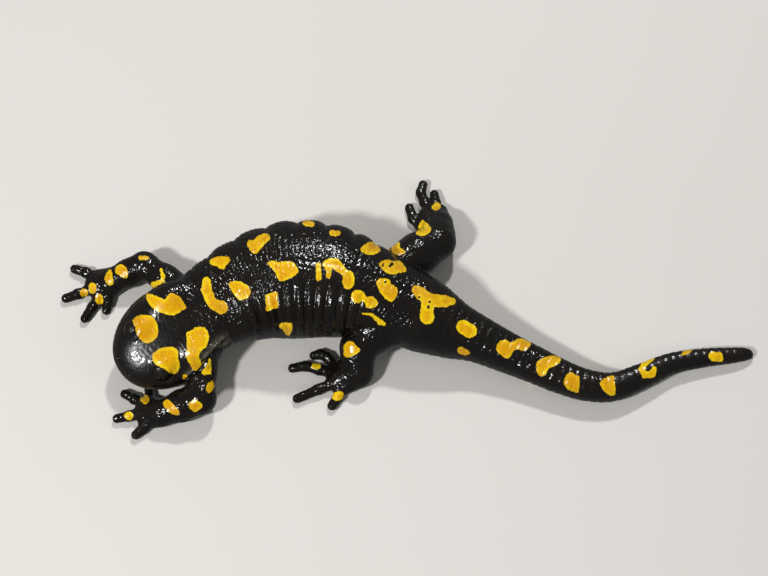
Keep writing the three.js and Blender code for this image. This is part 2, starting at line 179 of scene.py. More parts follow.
CELL = 0.4  # the grid's spacing, and so about the length of the mesh's edges
MARGIN = 2.0  # of the grid around the body
LEG_MARGIN = 10.0  # around a leg's path, within which its distance is worked out
NEAR_HEAD = (45.0, 8.0)  # the station and the distance within which the head's parts are
CHUNK = 20000  # points that are located at a time
FAR = 1000.0

# How softly one form runs into the next: widths in mm.
PAROTOID_BLEND = 2.6
HOLLOW_BLEND = 2.0
EYELID_BLEND = 1.6
EYEBALL_BLEND = 1.3
LIMB_BLEND = 2.4  # a leg's lengths into each other
BONE_BLEND = 1.0  # a toe's lengths
TOE_BLEND = 1.1  # a toe into its foot
FOOT_BLEND = 3.4  # a leg into its foot
FLOOR_BLEND = 0.5  # the flats on the floor
ROOT_BLEND = 3.6  # a leg into the body
ROOT_BLENDS = {"hind_right": 1.5}  # and where it is another
LEAST_BLEND = 0.3  # a leg into the body, away from its root
ROOT_REACH = (7.0, 15.0)  # how far from the root the blend starts and stops to fade


# ---- small numeric tools ----

def smooth_min(a, b, k):
    """The lower of two distances, rounded over a width k where they are nearly equal."""
    h = np.maximum(k - np.abs(a - b), 0.0) / k
    return np.minimum(a, b) - h * h * k * 0.25


def smooth_max(a, b, k):
    """The higher of two distances, rounded in the same way."""
    return -smooth_min(-a, -b, k)


def smooth_step(low, high, value):
    """From 0 to 1 while a value goes from low to high."""
    t = np.clip((value - low) / (high - low), 0.0, 1.0)
    return t * t * (3.0 - 2.0 * t)


def catmull_rom(rows, at):
    """Rows of values at fractional row numbers, on a uniform Catmull-Rom spline."""
    rows = np.asarray(rows, float)
    padded = np.vstack([2 * rows[0] - rows[1], rows, 2 * rows[-1] - rows[-2]])
    low = np.clip(np.floor(at).astype(int), 0, len(rows) - 2)
    u = (at - low)[:, None]
    p0, p1, p2, p3 = (padded[low + k] for k in range(4))
    curve = 2 * p1 + (p2 - p0) * u + (2 * p0 - 5 * p1 + 4 * p2 - p3) * u**2
    return 0.5 * (curve + (3 * p1 - p0 - 3 * p2 + p3) * u**3)


class Noise:
    """Smooth seeded noise between -1 and 1 on a lattice of unit cells."""

    SIZE = 32

    def __init__(self, seed):
        self.table = np.random.default_rng(seed).uniform(-1, 1, (self.SIZE,) * 3)

    def __call__(self, points, cell):
        p = np.asarray(points) / cell
        low = np.floor(p).astype(int)
        f = p - low
        f = f * f * (3 - 2 * f)
        total = 0.0
        for corner in range(8):
            step = np.array([corner & 1, corner >> 1 & 1, corner >> 2 & 1])
            i, j, k = ((low + step) % self.SIZE).T
            weight = np.prod(np.where(step, f, 1 - f), axis=1)
            total = total + weight * self.table[i, j, k]
        return total


# ---- the body's line and sections ----

head_axis = np.array([math.cos(HEAD_HEADING), math.sin(HEAD_HEADING)])


def on_head_axis(back):
    """A place of the head's axis, back from the snout tip, at the mouth's level."""
    x, y = np.array(SNOUT_TIP) + head_axis * back
    return x, y, MOUTH_LEVEL + MOUTH_CLIMB * back


def body_rows():
    """Every section: x, y, level, half width, above, below and roll."""
    rows = []
    for step in range(SNOUT_STEPS + 1):
        angle = step / SNOUT_STEPS * math.pi / 2
        depth = math.sin(angle) ** SNOUT_BLUNTNESS
        place = on_head_axis(SNOUT_LENGTH * (1 - math.cos(angle)))
        half = HEAD_HALF_WIDTH * math.sin(angle)
        rows.append((*place, half, HEAD_ABOVE * depth, HEAD_BELOW * depth, HEAD_ROLL))
    rows += [(*on_head_axis(back), *rest) for back, *rest in NECK_ROWS]
    rows += TRUNK_ROWS
    for x, y, half in TAIL_ROWS:
        level = max(half - FLAT_DEPTH, TAIL_TIP_LEVEL)
        rows.append((x, y, level, half, half * TAIL_DEPTH_RATIO, half, 0.0))
    return rows


SAMPLES_PER_ROW = 12
ROWS = body_rows()
row_numbers = np.linspace(0, len(ROWS) - 1, (len(ROWS) - 1) * SAMPLES_PER_ROW + 1)
SPINE = catmull_rom(ROWS, row_numbers)
LAST = len(SPINE) - 1
TANGENT = np.gradient(SPINE[:, :2], axis=0)
TANGENT /= np.linalg.norm(TANGENT, axis=1)[:, None]
STATION = np.concatenate([[0], np.cumsum(np.linalg.norm(np.diff(SPINE[:, :2], axis=0), axis=1))])
SPINE_VALUES = np.column_stack([SPINE, TANGENT, STATION])


def locate(x, y):
    """The fractional spine sample whose section holds each point of the plan, and how far
    the point lies beyond the body's ends."""
    near = np.empty(x.size, int)
    for part in np.array_split(np.arange(x.size), x.size // CHUNK + 1):
        away = (x[part, None] - SPINE[:, 0]) ** 2 + (y[part, None] - SPINE[:, 1]) ** 2
        near[part] = np.argmin(away, axis=1)

    def ahead(i):
        return (x - SPINE[i, 0]) * TANGENT[i, 0] + (y - SPINE[i, 1]) * TANGENT[i, 1]

    here = ahead(near)
    other = np.clip(near + np.where(here > 0, 1, -1), 0, LAST)
    gap = here - ahead(other)
    share = np.where(np.abs(gap) > 1e-9, here / np.where(gap == 0, 1, gap), 0.0)
    beyond = np.where((near == 0) & (here < 0), -here, -FAR)
    beyond = np.where((near == LAST) & (here > 0), here, beyond)
    return near + (other - near) * np.clip(share, 0, 1), beyond


class Sections:
    """The body's sections at fractional spine samples."""

    def __init__(self, index, beyond):
        low = np.minimum(index.astype(int), LAST - 1)
        u = (index - low)[:, None]
        values = SPINE_VALUES[low] * (1 - u) + SPINE_VALUES[low + 1] * u
        self.x, self.y, self.level, half, above, below, roll, ax, ay, self.station = values.T
        size = np.hypot(ax, ay)
        self.ax, self.ay = ax / size, ay / size
        self.half, self.above, self.below = (np.maximum(v, LEAST_SIZE) for v in (half, above, below))
        self.roll = np.radians(roll)
        self.beyond = beyond

    def spread(self, shape):
        """The same values, shaped to broadcast over a grid."""
        for name, value in vars(self).items():
            setattr(self, name, value.reshape(shape).astype(np.float32))
        return self


def section_place(x, y, z, s):
    """How far each point lies to the right and up in its section, with the roll undone."""
    across = (y - s.y) * s.ax - (x - s.x) * s.ay
    up = z - s.level
    cos, sin = np.cos(s.roll), np.sin(s.roll)
    return across * cos + up * sin, up * cos - across * sin


def body_distance(x, y, z, s):
    """The distance from the oval section: its level of fullness over that level's slope."""
    side, rise = section_place(x, y, z, s)
    high = np.where(rise > 0, s.above, s.below)
    a = np.abs(side) / s.half
    b = np.abs(rise) / high
    n = SQUARENESS
    full = np.maximum((a**n + b**n) ** (1 / n), LEAST_SIZE)
    slope = full ** (1 - n) * np.hypot(a ** (n - 1) / s.half, b ** (n - 1) / high)
    least = 0.5 / np.maximum(s.half, high)
    return np.maximum((full - 1) / np.maximum(slope, least), s.beyond)


# ---- the head ----

def head_basis():
    """The head's directions back, to its right and up, as unit vectors."""
    backward = np.array([head_axis[0], head_axis[1], MOUTH_CLIMB])
    backward /= np.linalg.norm(backward)
    level = np.array([-head_axis[1], head_axis[0], 0.0])
    lift = np.cross(backward, level)
    roll = math.radians(HEAD_ROLL)
    right = level * math.cos(roll) + lift * math.sin(roll)
    return backward, right, np.cross(backward, right)


HEAD_BACK, HEAD_RIGHT, HEAD_UP = head_basis()


def head_point(back, out, up):
    """A place in the head, in part coordinates. Its axis is the CAD's: back is along the plan."""
    return np.array(on_head_axis(back)) + HEAD_RIGHT * out + HEAD_UP * up


def ellipsoid_distance(x, y, z, centre, axes, sizes):
    """An approximate distance from an ellipsoid whose axes are three unit vectors."""
    dx, dy, dz = x - centre[0], y - centre[1], z - centre[2]
    near, far = 0.0, 0.0
    for axis, size in zip(axes, sizes):
        along = (dx * axis[0] + dy * axis[1] + dz * axis[2]) / size
        near = near + along * along
        far = far + (along / size) ** 2
    near = np.sqrt(near)
    return near * (near - 1) / np.maximum(np.sqrt(far), 1e-6)


HEAD_AXES = (HEAD_BACK, HEAD_RIGHT, HEAD_UP)
SIDES = {"left": -1, "right": 1}


def on_side(place, sign):
    """A place in the head on the side whose sign is given."""
    back, out, up = place
    return head_point(back, out * sign, up)


def eye_of(side):
    """An eye's middle in the frame's coordinates and its radius, in millimetres."""
    low, high = (np.array(corner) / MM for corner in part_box(f"eye_{side}"))
    return (low + high) / 2, (high - low).max() / 2


SHIFT = eye_of("left")[0] - on_side(EYE, SIDES["left"])
EYE_RADIUS = eye_of("left")[1]
EYE_BED = 0.12  # how far the skin's bulge under an eyeball stays inside it
EYE_HOLLOW = ((10.2, 12.6, 8.0), 3.6)  # the place beside an eye, and the radius


def add_head(d, x, y, z):
    """The body's distance with the glands, the hollows beside the eyes, the lids and the eyes."""
    def bulge(gland, sign):
        return ellipsoid_distance(x, y, z, on_side(gland[0], sign), HEAD_AXES, gland[1])

    for sign in SIDES.values():
        d = smooth_min(d, bulge(PAROTOID, sign), PAROTOID_BLEND)
        centre, radius = EYE_HOLLOW
        d = smooth_max(d, radius - distance_to(x, y, z, on_side(centre, sign)), HOLLOW_BLEND)
        d = smooth_min(d, bulge(EYELID, sign), EYELID_BLEND)
        eyeball = distance_to(x, y, z, on_side(EYE, sign)) - (EYE_RADIUS - EYE_BED)
        d = smooth_min(d, eyeball, EYEBALL_BLEND)
    return d


def distance_to(x, y, z, point):
    """The plain distance of places from one point."""
    return np.sqrt((x - point[0]) ** 2 + (y - point[1]) ** 2 + (z - point[2]) ** 2)


# ---- the legs ----

def cone_distance(x, y, z, start, end, r0, r1):
    """The distance from a straight round-ended length whose radius runs from r0 to r1."""
    along = np.subtract(end, start)
    size = float(along @ along)
    t = ((x - start[0]) * along[0] + (y - start[1]) * along[1] + (z - start[2]) * along[2]) / size
    t = np.clip(t, 0, 1)
    dx = x - start[0] - along[0] * t
    dy = y - start[1] - along[1] * t
    dz = z - start[2] - along[2] * t
    return np.sqrt(dx * dx + dy * dy + dz * dz) - (r0 + (r1 - r0) * t)


def chain_distance(x, y, z, points, radii, blend):
    """The distance from a row of such lengths that run into each other."""
    d = None
    for start, end, r0, r1 in zip(points, points[1:], radii, radii[1:]):
        one = cone_distance(x, y, z, start, end, r0, r1)
        d = one if d is None else smooth_min(d, one, blend)
    return d


def leg_chain(leg):
    """A leg's path and radii with the swelling half way along its two long parts."""
    path = [np.array(point) for point in leg["path"]]
    points, radii = [path[0]], [leg["radii"][0]]
    for i, (start, end) in enumerate(zip(path, path[1:])):
        if i < len(leg["swell"]):
            points.append((start + end) / 2)
            radii.append(leg["swell"][i])
        points.append(end)
        radii.append(leg["radii"][i + 1])
    return points, radii


def toe_chain(leg, toe):
    """A toe, with its bones inside the foot from the foot's middle on."""
    last = len(toe) - 1
    thinning = (TOE_TIP_RADIUS - TOE_BASE_RADIUS) / last
    radii = [FAN_RADIUS] + [TOE_BASE_RADIUS + thinning * i for i in range(last + 1)]
    places = [leg["path"][-1], *toe]
    return [np.array((*p[:2], r - FLAT_DEPTH / 2)) for p, r in zip(places, radii)], radii


def foot_distance(x, y, z, leg):
    """The distance from a foot's pad and toes."""
    wrist, middle = leg["path"][-2:]
    heading = math.atan2(middle[1] - wrist[1], middle[0] - wrist[0])
    ahead = (math.cos(heading), math.sin(heading), 0)
    aside = (-math.sin(heading), math.cos(heading), 0)
    centre = (middle[0], middle[1], leg["pad"][2] - FLAT_DEPTH)
    d = ellipsoid_distance(x, y, z, centre, (ahead, aside, (0, 0, 1)), leg["pad"])
    for toe in leg["toes"]:
        points, radii = toe_chain(leg, toe)
        d = smooth_min(d, chain_distance(x, y, z, points, radii, BONE_BLEND), TOE_BLEND)
    return d


def leg_distance(x, y, z, leg):
    """The distance from a whole leg."""
    points, radii = leg_chain(leg)
    d = chain_distance(x, y, z, points, radii, LIMB_BLEND)
    return smooth_min(d, foot_distance(x, y, z, leg), FOOT_BLEND)


def leg_box(leg):
    """The box around a leg within which its distance is worked out."""
    points = [(*p[:2], z) for p in leg["path"] for z in (0, p[2])]
    points += [(*p, 0) for toe in leg["toes"] for p in toe]
    points = np.array(points)
    return points.min(0) - LEG_MARGIN, points.max(0) + LEG_MARGIN


# ---- the whole skin ----

def skin_distance(x, y, z, s):
    """The distance from the skin, for arrays of points with their sections."""
    d = body_distance(x, y, z, s)

    def chosen(which):
        at = np.nonzero(np.broadcast_to(which, d.shape))
        return at, *(np.broadcast_to(v, d.shape)[at] for v in (x, y, z))

    at, *place = chosen((s.station < NEAR_HEAD[0]) & (d < NEAR_HEAD[1]))
    d[at] = add_head(d[at], *place)
    for name, leg in LEGS.items():
        low, high = leg_box(leg)
        inside = (x > low[0]) & (x < high[0]) & (y > low[1]) & (y < high[1])
        at, *place = chosen(inside & (z < high[2]))
        near = 1 - smooth_step(*ROOT_REACH, distance_to(*place, leg["path"][0]))
        blend = ROOT_BLENDS.get(name, ROOT_BLEND) * near + LEAST_BLEND
        d[at] = smooth_min(d[at], leg_distance(*place, leg), blend)
    return smooth_max(d, -z, FLOOR_BLEND)


def skin_grid():
    """The distance on a regular grid around the body, and the grid's lowest corner."""
    plan = [SPINE[:, :2] - SPINE[:, 3:4], SPINE[:, :2] + SPINE[:, 3:4]]
    for leg in LEGS.values():
        plan += [[p[:2] for p in leg["path"]], *leg["toes"]]
    plan = np.vstack(plan)
    low = np.append(plan.min(0), 0) - MARGIN
    high = np.append(plan.max(0), (SPINE[:, 2] + SPINE[:, 4]).max()) + MARGIN
    x, y, z = (np.arange(a, b + CELL, CELL) for a, b in zip(low, high))
    px, py = (v.ravel() for v in np.meshgrid(x, y, indexing="ij"))
    s = Sections(*locate(px, py)).spread((len(x), len(y), 1))
    gx, gy, gz = np.meshgrid(x, y, z, indexing="ij", sparse=True)
    gx, gy, gz = (v.astype(np.float32) for v in (gx, gy, gz))
    return skin_distance(gx, gy, gz, s), low


def surface_net(d, origin):
    """The zero surface of a grid of distances, as vertices and quads."""
    cells = np.array(d.shape) - 1
    inside = d < 0
    count = np.zeros(cells, np.int8)
    corners = [(i, j, k) for i in (0, 1) for j in (0, 1) for k in (0, 1)]
    for i, j, k in corners:
        count += inside[i:i + cells[0], j:j + cells[1], k:k + cells[2]]
    active = np.argwhere((count > 0) & (count < 8))
    total = np.zeros((len(active), 3))
    crossings = np.zeros(len(active))
    for axis in range(3):
        step = np.eye(3, dtype=int)[axis]
        for corner in corners:
            if corner[axis]:
                continue
            start = active + corner
            a = d[tuple(start.T)]
            b = d[tuple((start + step).T)]
            cut = (a < 0) != (b < 0)
            t = np.where(cut, a / np.where(cut, a - b, 1), 0)
            total += cut[:, None] * (np.array(corner) + t[:, None] * step)
            crossings += cut
    vertices = origin + CELL * (active + total / crossings[:, None])
    number = np.full(cells, -1, np.int32)
    number[tuple(active.T)] = np.arange(len(active))
    quads = []
    for axis in range(3):
        u, v = [np.eye(3, dtype=int)[(axis + k) % 3] for k in (1, 2)]
        step = np.eye(3, dtype=int)[axis]
        stop = np.array(d.shape) - step
        here = inside[:stop[0], :stop[1], :stop[2]]
        there = inside[step[0]:, step[1]:, step[2]:]
        edges = np.argwhere(here != there)
        edges = edges[(edges[:, (axis + 1) % 3] > 0) & (edges[:, (axis + 2) % 3] > 0)]
        around = [number[tuple((edges + shift).T)] for shift in (-u - v, -v, 0 * u, -u)]
        quad = np.column_stack(around)
        outward = inside[tuple(edges.T)]
        quads.append(np.where(outward[:, None], quad, quad[:, ::-1]))
    return vertices, np.vstack(quads)


def evaluate(points):
    """The distance from the skin at points."""
    x, y, z = points.T
    return skin_distance(x, y, z, Sections(*locate(x, y)))


def gradient(points, step=0.06):
    """The distance's slope at points, by differences."""
    found = np.empty_like(points)
    for axis in range(3):
        move = np.zeros(3)
        move[axis] = step
        found[:, axis] = (evaluate(points + move) - evaluate(points - move)) / (2 * step)
    return found


FLATTEST = 0.15  # the least squared slope that a step is divided by
LONGEST_STEP = 0.3


def settle(points, passes=2):
    """Points moved onto the zero surface."""
    for _ in range(passes):
        slope = gradient(points)
        step = evaluate(points) / np.maximum((slope**2).sum(1), FLATTEST)
        points = points - slope * np.clip(step, -LONGEST_STEP, LONGEST_STEP)[:, None]
    return points


# ---- a finer mesh where the detail is fine ----

def cut_quads(points, quads):
    """Each quad as two triangles, cut along its shorter diagonal."""
    a, b, c, d = quads.T
    shorter = np.linalg.norm(points[a] - points[c], axis=1) < np.linalg.norm(points[b] - points[d], axis=1)
    one = np.where(shorter, (a, b, c), (a, b, d))
    two = np.where(shorter, (a, c, d), (b, c, d))
    return np.hstack([one, two]).T


def mesh_normals(points, faces):
    """Each point's unit normal, the mean of its faces' by their areas."""
    corners = points[faces]
    across = np.cross(corners[:, 1] - corners[:, 0], corners[:, 2] - corners[:, 0])
    normals = np.zeros_like(points)
    for axis in range(3):
        for corner in range(3):
            normals[:, axis] += np.bincount(faces[:, corner], across[:, axis], len(points))
    return normals / np.maximum(np.linalg.norm(normals, axis=1), 1e-9)[:, None]


def refine(points, faces, marked):
    """Splits each edge whose two ends are marked. A new point bows out as the normals say."""
    normals = mesh_normals(points, faces)
    edges = np.sort(faces[:, [[0, 1], [1, 2], [2, 0]]].reshape(-1, 2), axis=1)
    split = marked[edges].all(axis=1)
    keys, inverse = np.unique(edges[split] @ [len(points), 1], return_inverse=True)
    middle = np.full(len(edges), -1)
    middle[split] = len(points) + inverse
    middle = middle.reshape(-1, 3)
    a, b = keys // len(points), keys % len(points)
    along = points[b] - points[a]
    bow = [(along * normals[end]).sum(1)[:, None] * normals[end] for end in (b, a)]
    points = np.vstack([points, (points[a] + points[b]) / 2 + (bow[0] - bow[1]) / 8])
    count = (middle >= 0).sum(1)
    kept = [faces[count == 0]]
    i, j, k = faces[count == 3].T
    ij, jk, ki = middle[count == 3].T
    kept += [np.column_stack(corners) for corners in ((i, ij, ki), (ij, j, jk), (ki, jk, k), (ij, jk, ki))]
    for side in range(3):
        here = (count == 1) & (middle[:, side] >= 0)
        i, j, k = np.roll(faces[here], -side, axis=1).T
        kept += [np.column_stack([i, middle[here, side], k]), np.column_stack([middle[here, side], j, k])]
    return points, np.vstack(kept)


# ---- where a point of the skin lies on the animal ----

def station_at(x):
    """The distance behind the snout, along the body, of a place of the trunk or tail."""
    return np.interp(x, SPINE[:, 0], STATION)


BODY_FADE = 1.2  # how far from the body's own surface its details fade, where a leg begins
HEAD_END = 38.0  # the station where the head's details and its finer mesh end
SNOUT_MARGIN = -4.0  # how far before the snout's tip they begin


class Places:
    """Places on the body in millimetres and degrees, for an array of points."""

    def __init__(self, points):
        x, y, z = points.T
        s = Sections(*locate(x, y))
        across, rise = section_place(x, y, z, s)
        high = np.where(rise > 0, s.above, s.below)
        self.station = s.station
        self.right = across > 0
        self.elevation = np.degrees(np.arctan2(rise / high, np.abs(across) / s.half))
        self.girth = np.radians(90 - self.elevation) * (s.half + high) / 2
        self.on_body = ridge(np.maximum(body_distance(x, y, z, s), 0), 0, BODY_FADE)
        local = points - on_head_axis(0)
        self.back = local @ HEAD_BACK / math.hypot(1, MOUTH_CLIMB)
        self.out = local @ HEAD_RIGHT
        self.up = local @ HEAD_UP
        self.on_head = (self.station < HEAD_END) & (self.back > SNOUT_MARGIN)


def chain_place(points, chain, radii):
    """How far points lie from a chain's surface, and how far along the chain."""
    best, place, passed = np.full(len(points), FAR), np.zeros(len(points)), 0.0
    for start, end, r0, r1 in zip(chain, chain[1:], radii, radii[1:]):
        along = np.subtract(end, start)
        size = np.linalg.norm(along)
        t = np.clip((points - start) @ along / size**2, 0, 1)
        d = np.linalg.norm(points - start - t[:, None] * along, axis=1) - r0 - (r1 - r0) * t
        place = np.where(d < best, passed + t * size, place)
        best = np.minimum(d, best)
        passed += size
    return best, place, passed


def ridge(value, centre, width):
    """A bell-shaped swelling, 1 high."""
    return np.exp(-(((value - centre) / width) ** 2))


def profile(value, waves):
    """The sum of some swellings and hollows: the height, centre and width of each."""
    return sum(height * ridge(value, centre, width) for height, centre, width in waves)


def creases(value, pitch, width, depth):
    """A row of narrow lines, one for each pitch of the value, as a positive depth."""
    phase = value / pitch
    return depth * ridge((phase - np.round(phase)) * pitch, 0, width)


def window(value, low, high, soft):
    """1 between two values and 0 outside, with soft ends."""
    return smooth_step(low - soft, low + soft, value) * (1 - smooth_step(high - soft, high + soft, value))


def at_least(least, share):
    """From a least value to 1 while a share goes from 0 to 1."""
    return least + (1 - least) * share


# ---- folds, grooves and glands ----

GROOVE_PITCH = 4.25  # of the costal grooves, twelve along the trunk
GROOVE_COUNT = 12
FIRST_GROOVE = station_at(-56.2)
LAST_GROOVE = FIRST_GROOVE + GROOVE_PITCH * (GROOVE_COUNT - 1)
GROOVE_DEPTH = 0.32
GROOVE_VARIETY = (0.85, 0.25, 2.4)  # the depth's mean share, its swing, and the turn from one to the next
GROOVE_WIDTH = 0.55
GROOVE_SWELLING = 0.36  # of the skin between two grooves
GROOVE_FOOT = -20.0  # the elevation where the grooves begin
GROOVE_TOPS = (14.0, 62.0)  # and end: lower on the right, where the glands take over
GROOVE_FADE = 18.0  # degrees
LEFT_GROOVES_LOW = 0.25  # how much of the left grooves there is low on the flank
LEFT_GROOVES_RISE = (2.0, 36.0)  # elevations between which they grow to their full depth

# Swollen glands along each edge of the back, one between each two notches: the notches' x in
# part coordinates, and the glands' heights.
RIGHT_NOTCHES = [-64.0, -57.0, -50.0, -42.6, -34.6, -27.3, -19.2, -13.4, -7.4]
RIGHT_HEIGHTS = [0.5, 0.8, 1.0, 1.2, 1.3, 1.2, 1.1, 0.6]
LEFT_NOTCHES = [-60.0, -52.2, -44.4, -36.8, -29.0, -21.3, -13.6, -6.0]
LEFT_HEIGHTS = [0.3, 0.4, 0.45, 0.4, 0.5, 0.45, 0.4]
GLAND_ELEVATION = 26.0
GLAND_SPREAD = 22.0  # degrees
GLAND_FULLNESS = 2.6  # exponent of their outline

BACK_GLANDS = (34.0, 105.0, 6.0)  # first and last station, and how softly they end
BACK_GLAND_PITCH = 1.7
BACK_GLAND_SHIFT = 1.2  # how far the right row's bumps lie before the left row's
BACK_GLAND_ROWS = [(0.08, 3.1, 1.0), (0.05, 6.0, 1.1)]  # height, distance from the spine, width
BACK_FURROW = [(-0.14, 0, 0.9)]

# How far lines wander from their regular places in mm, and over what distance.
GROOVE_WANDER = (0.7, 8.0)
GLAND_WANDER = (0.5, 4.0)
WRINKLE_WANDER = (1.4, 7.0)
RING_WANDER = (0.5, 5.0)
LEG_WANDER = (0.7, 4.0)
JOINT_WANDER = (0.8, 3.0)

# Fine creases: pitch, width and depth.
BODY_WRINKLES = (1.35, 0.26, 0.12)
SLANTED_WRINKLES = (1.9, 0.3, 0.07)
LEG_WRINKLES = (1.5, 0.3, 0.06)
TAIL_RINGS = (2.6, 0.4, 0.13)
TAIL_HALF_RINGS = (1.3, 0.25, 0.05)

TAIL_START = station_at(4.0)
BODY_LENGTH = STATION[-1]
NAPE = (36.0, 64.0, 5.0)  # stations between which the skin is most wrinkled, and how softly
NAPE_DEPTH = 0.7  # how much deeper its wrinkles are
NAPE_PATCHES = 0.6  # how much of them there is where they come and go elsewhere
NAPE_RELIEF = 0.5  # how much higher its granules are
ACROSS = (36.0, TAIL_START + 12, 4.0)  # stations between which wrinkles run, and how softly
SLANTED = (36.0, TAIL_START, 4.0)
RINGED = (TAIL_START + 6, BODY_LENGTH - 3, 5.0)
HALF_RING_SHIFT = 0.9  # how far the fainter rings lie before the others
FINE_BEND = 0.35  # how far single wrinkles bend
FINE_BEND_SIZE = 2.4
PATCH_SIZE = 4.5  # of the patches where the wrinkles come and go
PATCH_EDGE = (-0.25, 0.45)  # values of the noise between which they do
SPINE_WRINKLES = 0.3  # how much of the wrinkles runs on across the spine
SPINE_WIDTH = (5.0, 9.0)  # from the spine along the skin, between which they grow to the full
SLANT = 0.45  # mm along the body for each mm around it
SNOUT_GRAIN = 0.25  # how granular the snout is
GRAIN_RISE = (12.0, 32.0)  # stations between which the skin gets fully granular
DULL_TAIL = 0.65  # how much the far half of the tail loses of the grain and gloss
DULLING = (TAIL_START + 40, TAIL_START + 80)  # stations between which it does
LIMB_EDGE = (0.3, 1.5)  # distances from a leg between which its own granules end
BODY_START = (22.0, 27.0)  # stations between which the head's details give way to the body's
FLOOR_LOSS = 0.85  # how much of every detail is pressed flat on the floor
FLOOR_HEIGHT = 0.7  # above the floor, where that ends
GRAINS = [(0.04, 1.0), (0.03, 0.6)]  # height and size of the finest relief in the mesh

# A leg's creases at its joints and across its toes.
JOINT_STEPS = (-1.5, 0.0, 1.5)
JOINT_CREASE = (0.05, 0.45)  # depth and width
TOE_SHARES = (0.52, 0.76)
TOE_CREASE = (0.13, 0.28)
LEG_FADE = 1.0  # how far from a leg's surface its creases fade
TOE_FADE = 0.3

# Creases of the neck and throat: station, how far it leans back with height (mm for 90
# degrees), side, elevations between which it runs, depth, width.
NECK_FOLDS = [
    (25.6, -1.5, "left", -35, 42, 0.55, 0.55),
    (28.4, -0.5, "left", -60, 30, 0.5, 0.6),
    (31.0, 1.0, "left", -50, 45, 0.4, 0.5),
    (34.6, 2.0, "left", -30, 55, 0.35, 0.6),
    (26.5, -1.0, "right", -45, 20, 0.35, 0.6),
    (31.8, 0.5, "right", -60, 15, 0.3, 0.6),
    (36.5, 1.5, "right", -20, 40, 0.3, 0.6),
    (30.0, 1.2, "left", -95, -20, 0.55, 0.75),
    (30.0, 1.2, "right", -95, -20, 0.55, 0.75),
]

FOLD = [(-1, 0, 1), (0.3, -1.5, 1)]  # a fold and the low rim before it, in its own width
FOLD_FADE = 10.0  # degrees

# The line in the skin from the left corner of the jaw back and up over the shoulder.
JAW_FOLD = [
    (-71.2, -30.5, 9.4), (-69.6, -29.8, 10.0), (-68.0, -29.1, 11.1), (-66.4, -28.7, 12.2),
    (-64.8, -27.7, 13.3), (-63.5, -26.4, 14.3), (-62.3, -25.1, 15.5), (-61.0, -23.5, 16.3),
    (-58.9, -21.1, 16.3), (-56.8, -18.7, 15.8), (-54.5, -16.9, 16.3),
]
JAW_FOLD_CREASE = (0.95, 0, 0.55)
JAW_FOLD_RIM = (1.25, 0.6)  # centre and width
JAW_FOLD_RIMS = (0.5, 0.1)  # heights on the side of the head and on the other

# Cross-sections, from above the mouth's line down and from an eyeball outward: height, centre
# and width of each swelling or hollow.
LIPS = [(-0.12, 2.3, 0.6), (0.32, 0.85, 0.5), (-0.5, 0, 0.2), (-0.12, -0.9, 0.6)]
LIP_DROOP = 0.9  # of the lips' line towards the corner of the mouth
DROOP_START = 13.0  # where that begins, back from the snout tip
MOUTH_CORNER = (MOUTH_LENGTH - 2.5, MOUTH_LENGTH + 0.5)  # between which the lips end
# The band along the upper lip's edge where a painted highlight lightens the black.
LIP_HIGHLIGHT_BAND = (1.0, 0.5)  # how far above the mouth's line, and width
EYE_RIM = [(0.26, 0.3, 0.32), (-0.1, 1.1, 0.35), (0.05, 1.7, 0.4), (-0.05, 2.3, 0.22)]
PIT = [(-1, 0, 1), (0.25, 1.7, 0.6)]  # in its own depth and width
NOSTRIL = (1.6, 3.3, 3.6)
NOSTRIL_PIT = (0.5, 0.42)  # depth and width
PORE_PIT = (0.16, 0.3)
PORES = [(PAROTOID, 16), (EYELID, 5)]  # how many each gland and lid has
PORE_SPREAD = 0.75  # how far from a gland's middle they go, as a share of its half sizes

BETWEEN_EYES = (0.12, 2.2, 11.0, 6.0)  # the hollow's depth, width, place back and length
FOLD_ENDS = (2.5, 5.0, 0.5)  # the jaw fold's fade at its start, and from where to where at its end
HEADWARD = -10.0  # square mm of turn from the fold's run, above which a point is on the head's side

wander = Noise(11)
patches = Noise(12)
grain = Noise(13)


def wandering(p, height, cell):
    """How far a line wanders at each point."""
    return height * wander(p, cell)


def trunk_grooves(p, at):
    """The costal grooves of both flanks, with the skin swollen between them."""
    station = at.station + wandering(p, *GROOVE_WANDER)
    number = np.round((station - FIRST_GROOVE) / GROOVE_PITCH)
    offset = station - FIRST_GROOVE - number * GROOVE_PITCH
    low, swing, turn = GROOVE_VARIETY
    depth = GROOVE_DEPTH * (low + swing * np.sin(number * turn))
    top = np.where(at.right, *GROOVE_TOPS)
    flank = window(at.elevation, GROOVE_FOOT, top, GROOVE_FADE)
    flank = flank * window(station, FIRST_GROOVE, LAST_GROOVE, 2.0)
    left = at_least(LEFT_GROOVES_LOW, smooth_step(*LEFT_GROOVES_RISE, at.elevation))
    flank = flank * np.where(at.right, 1.0, left)
    swelling = GROOVE_SWELLING * np.cos(2 * math.pi * offset / GROOVE_PITCH)
    return -flank * (depth * ridge(offset, 0, GROOVE_WIDTH) + swelling)


def edge_glands(at):
    """The row of swellings along each edge of the back."""
    total = 0.0
    rows = ((RIGHT_NOTCHES, RIGHT_HEIGHTS, at.right), (LEFT_NOTCHES, LEFT_HEIGHTS, ~at.right))
    for notches, heights, side in rows:
        for start, end, height in zip(notches, notches[1:], heights):
            share = (at.station - station_at(start)) / (station_at(end) - station_at(start))
            crown = np.maximum(1 - np.abs(2 * share - 1) ** GLAND_FULLNESS, 0)
            total = total + side * height * crown
    return total * ridge(at.elevation, GLAND_ELEVATION, GLAND_SPREAD)


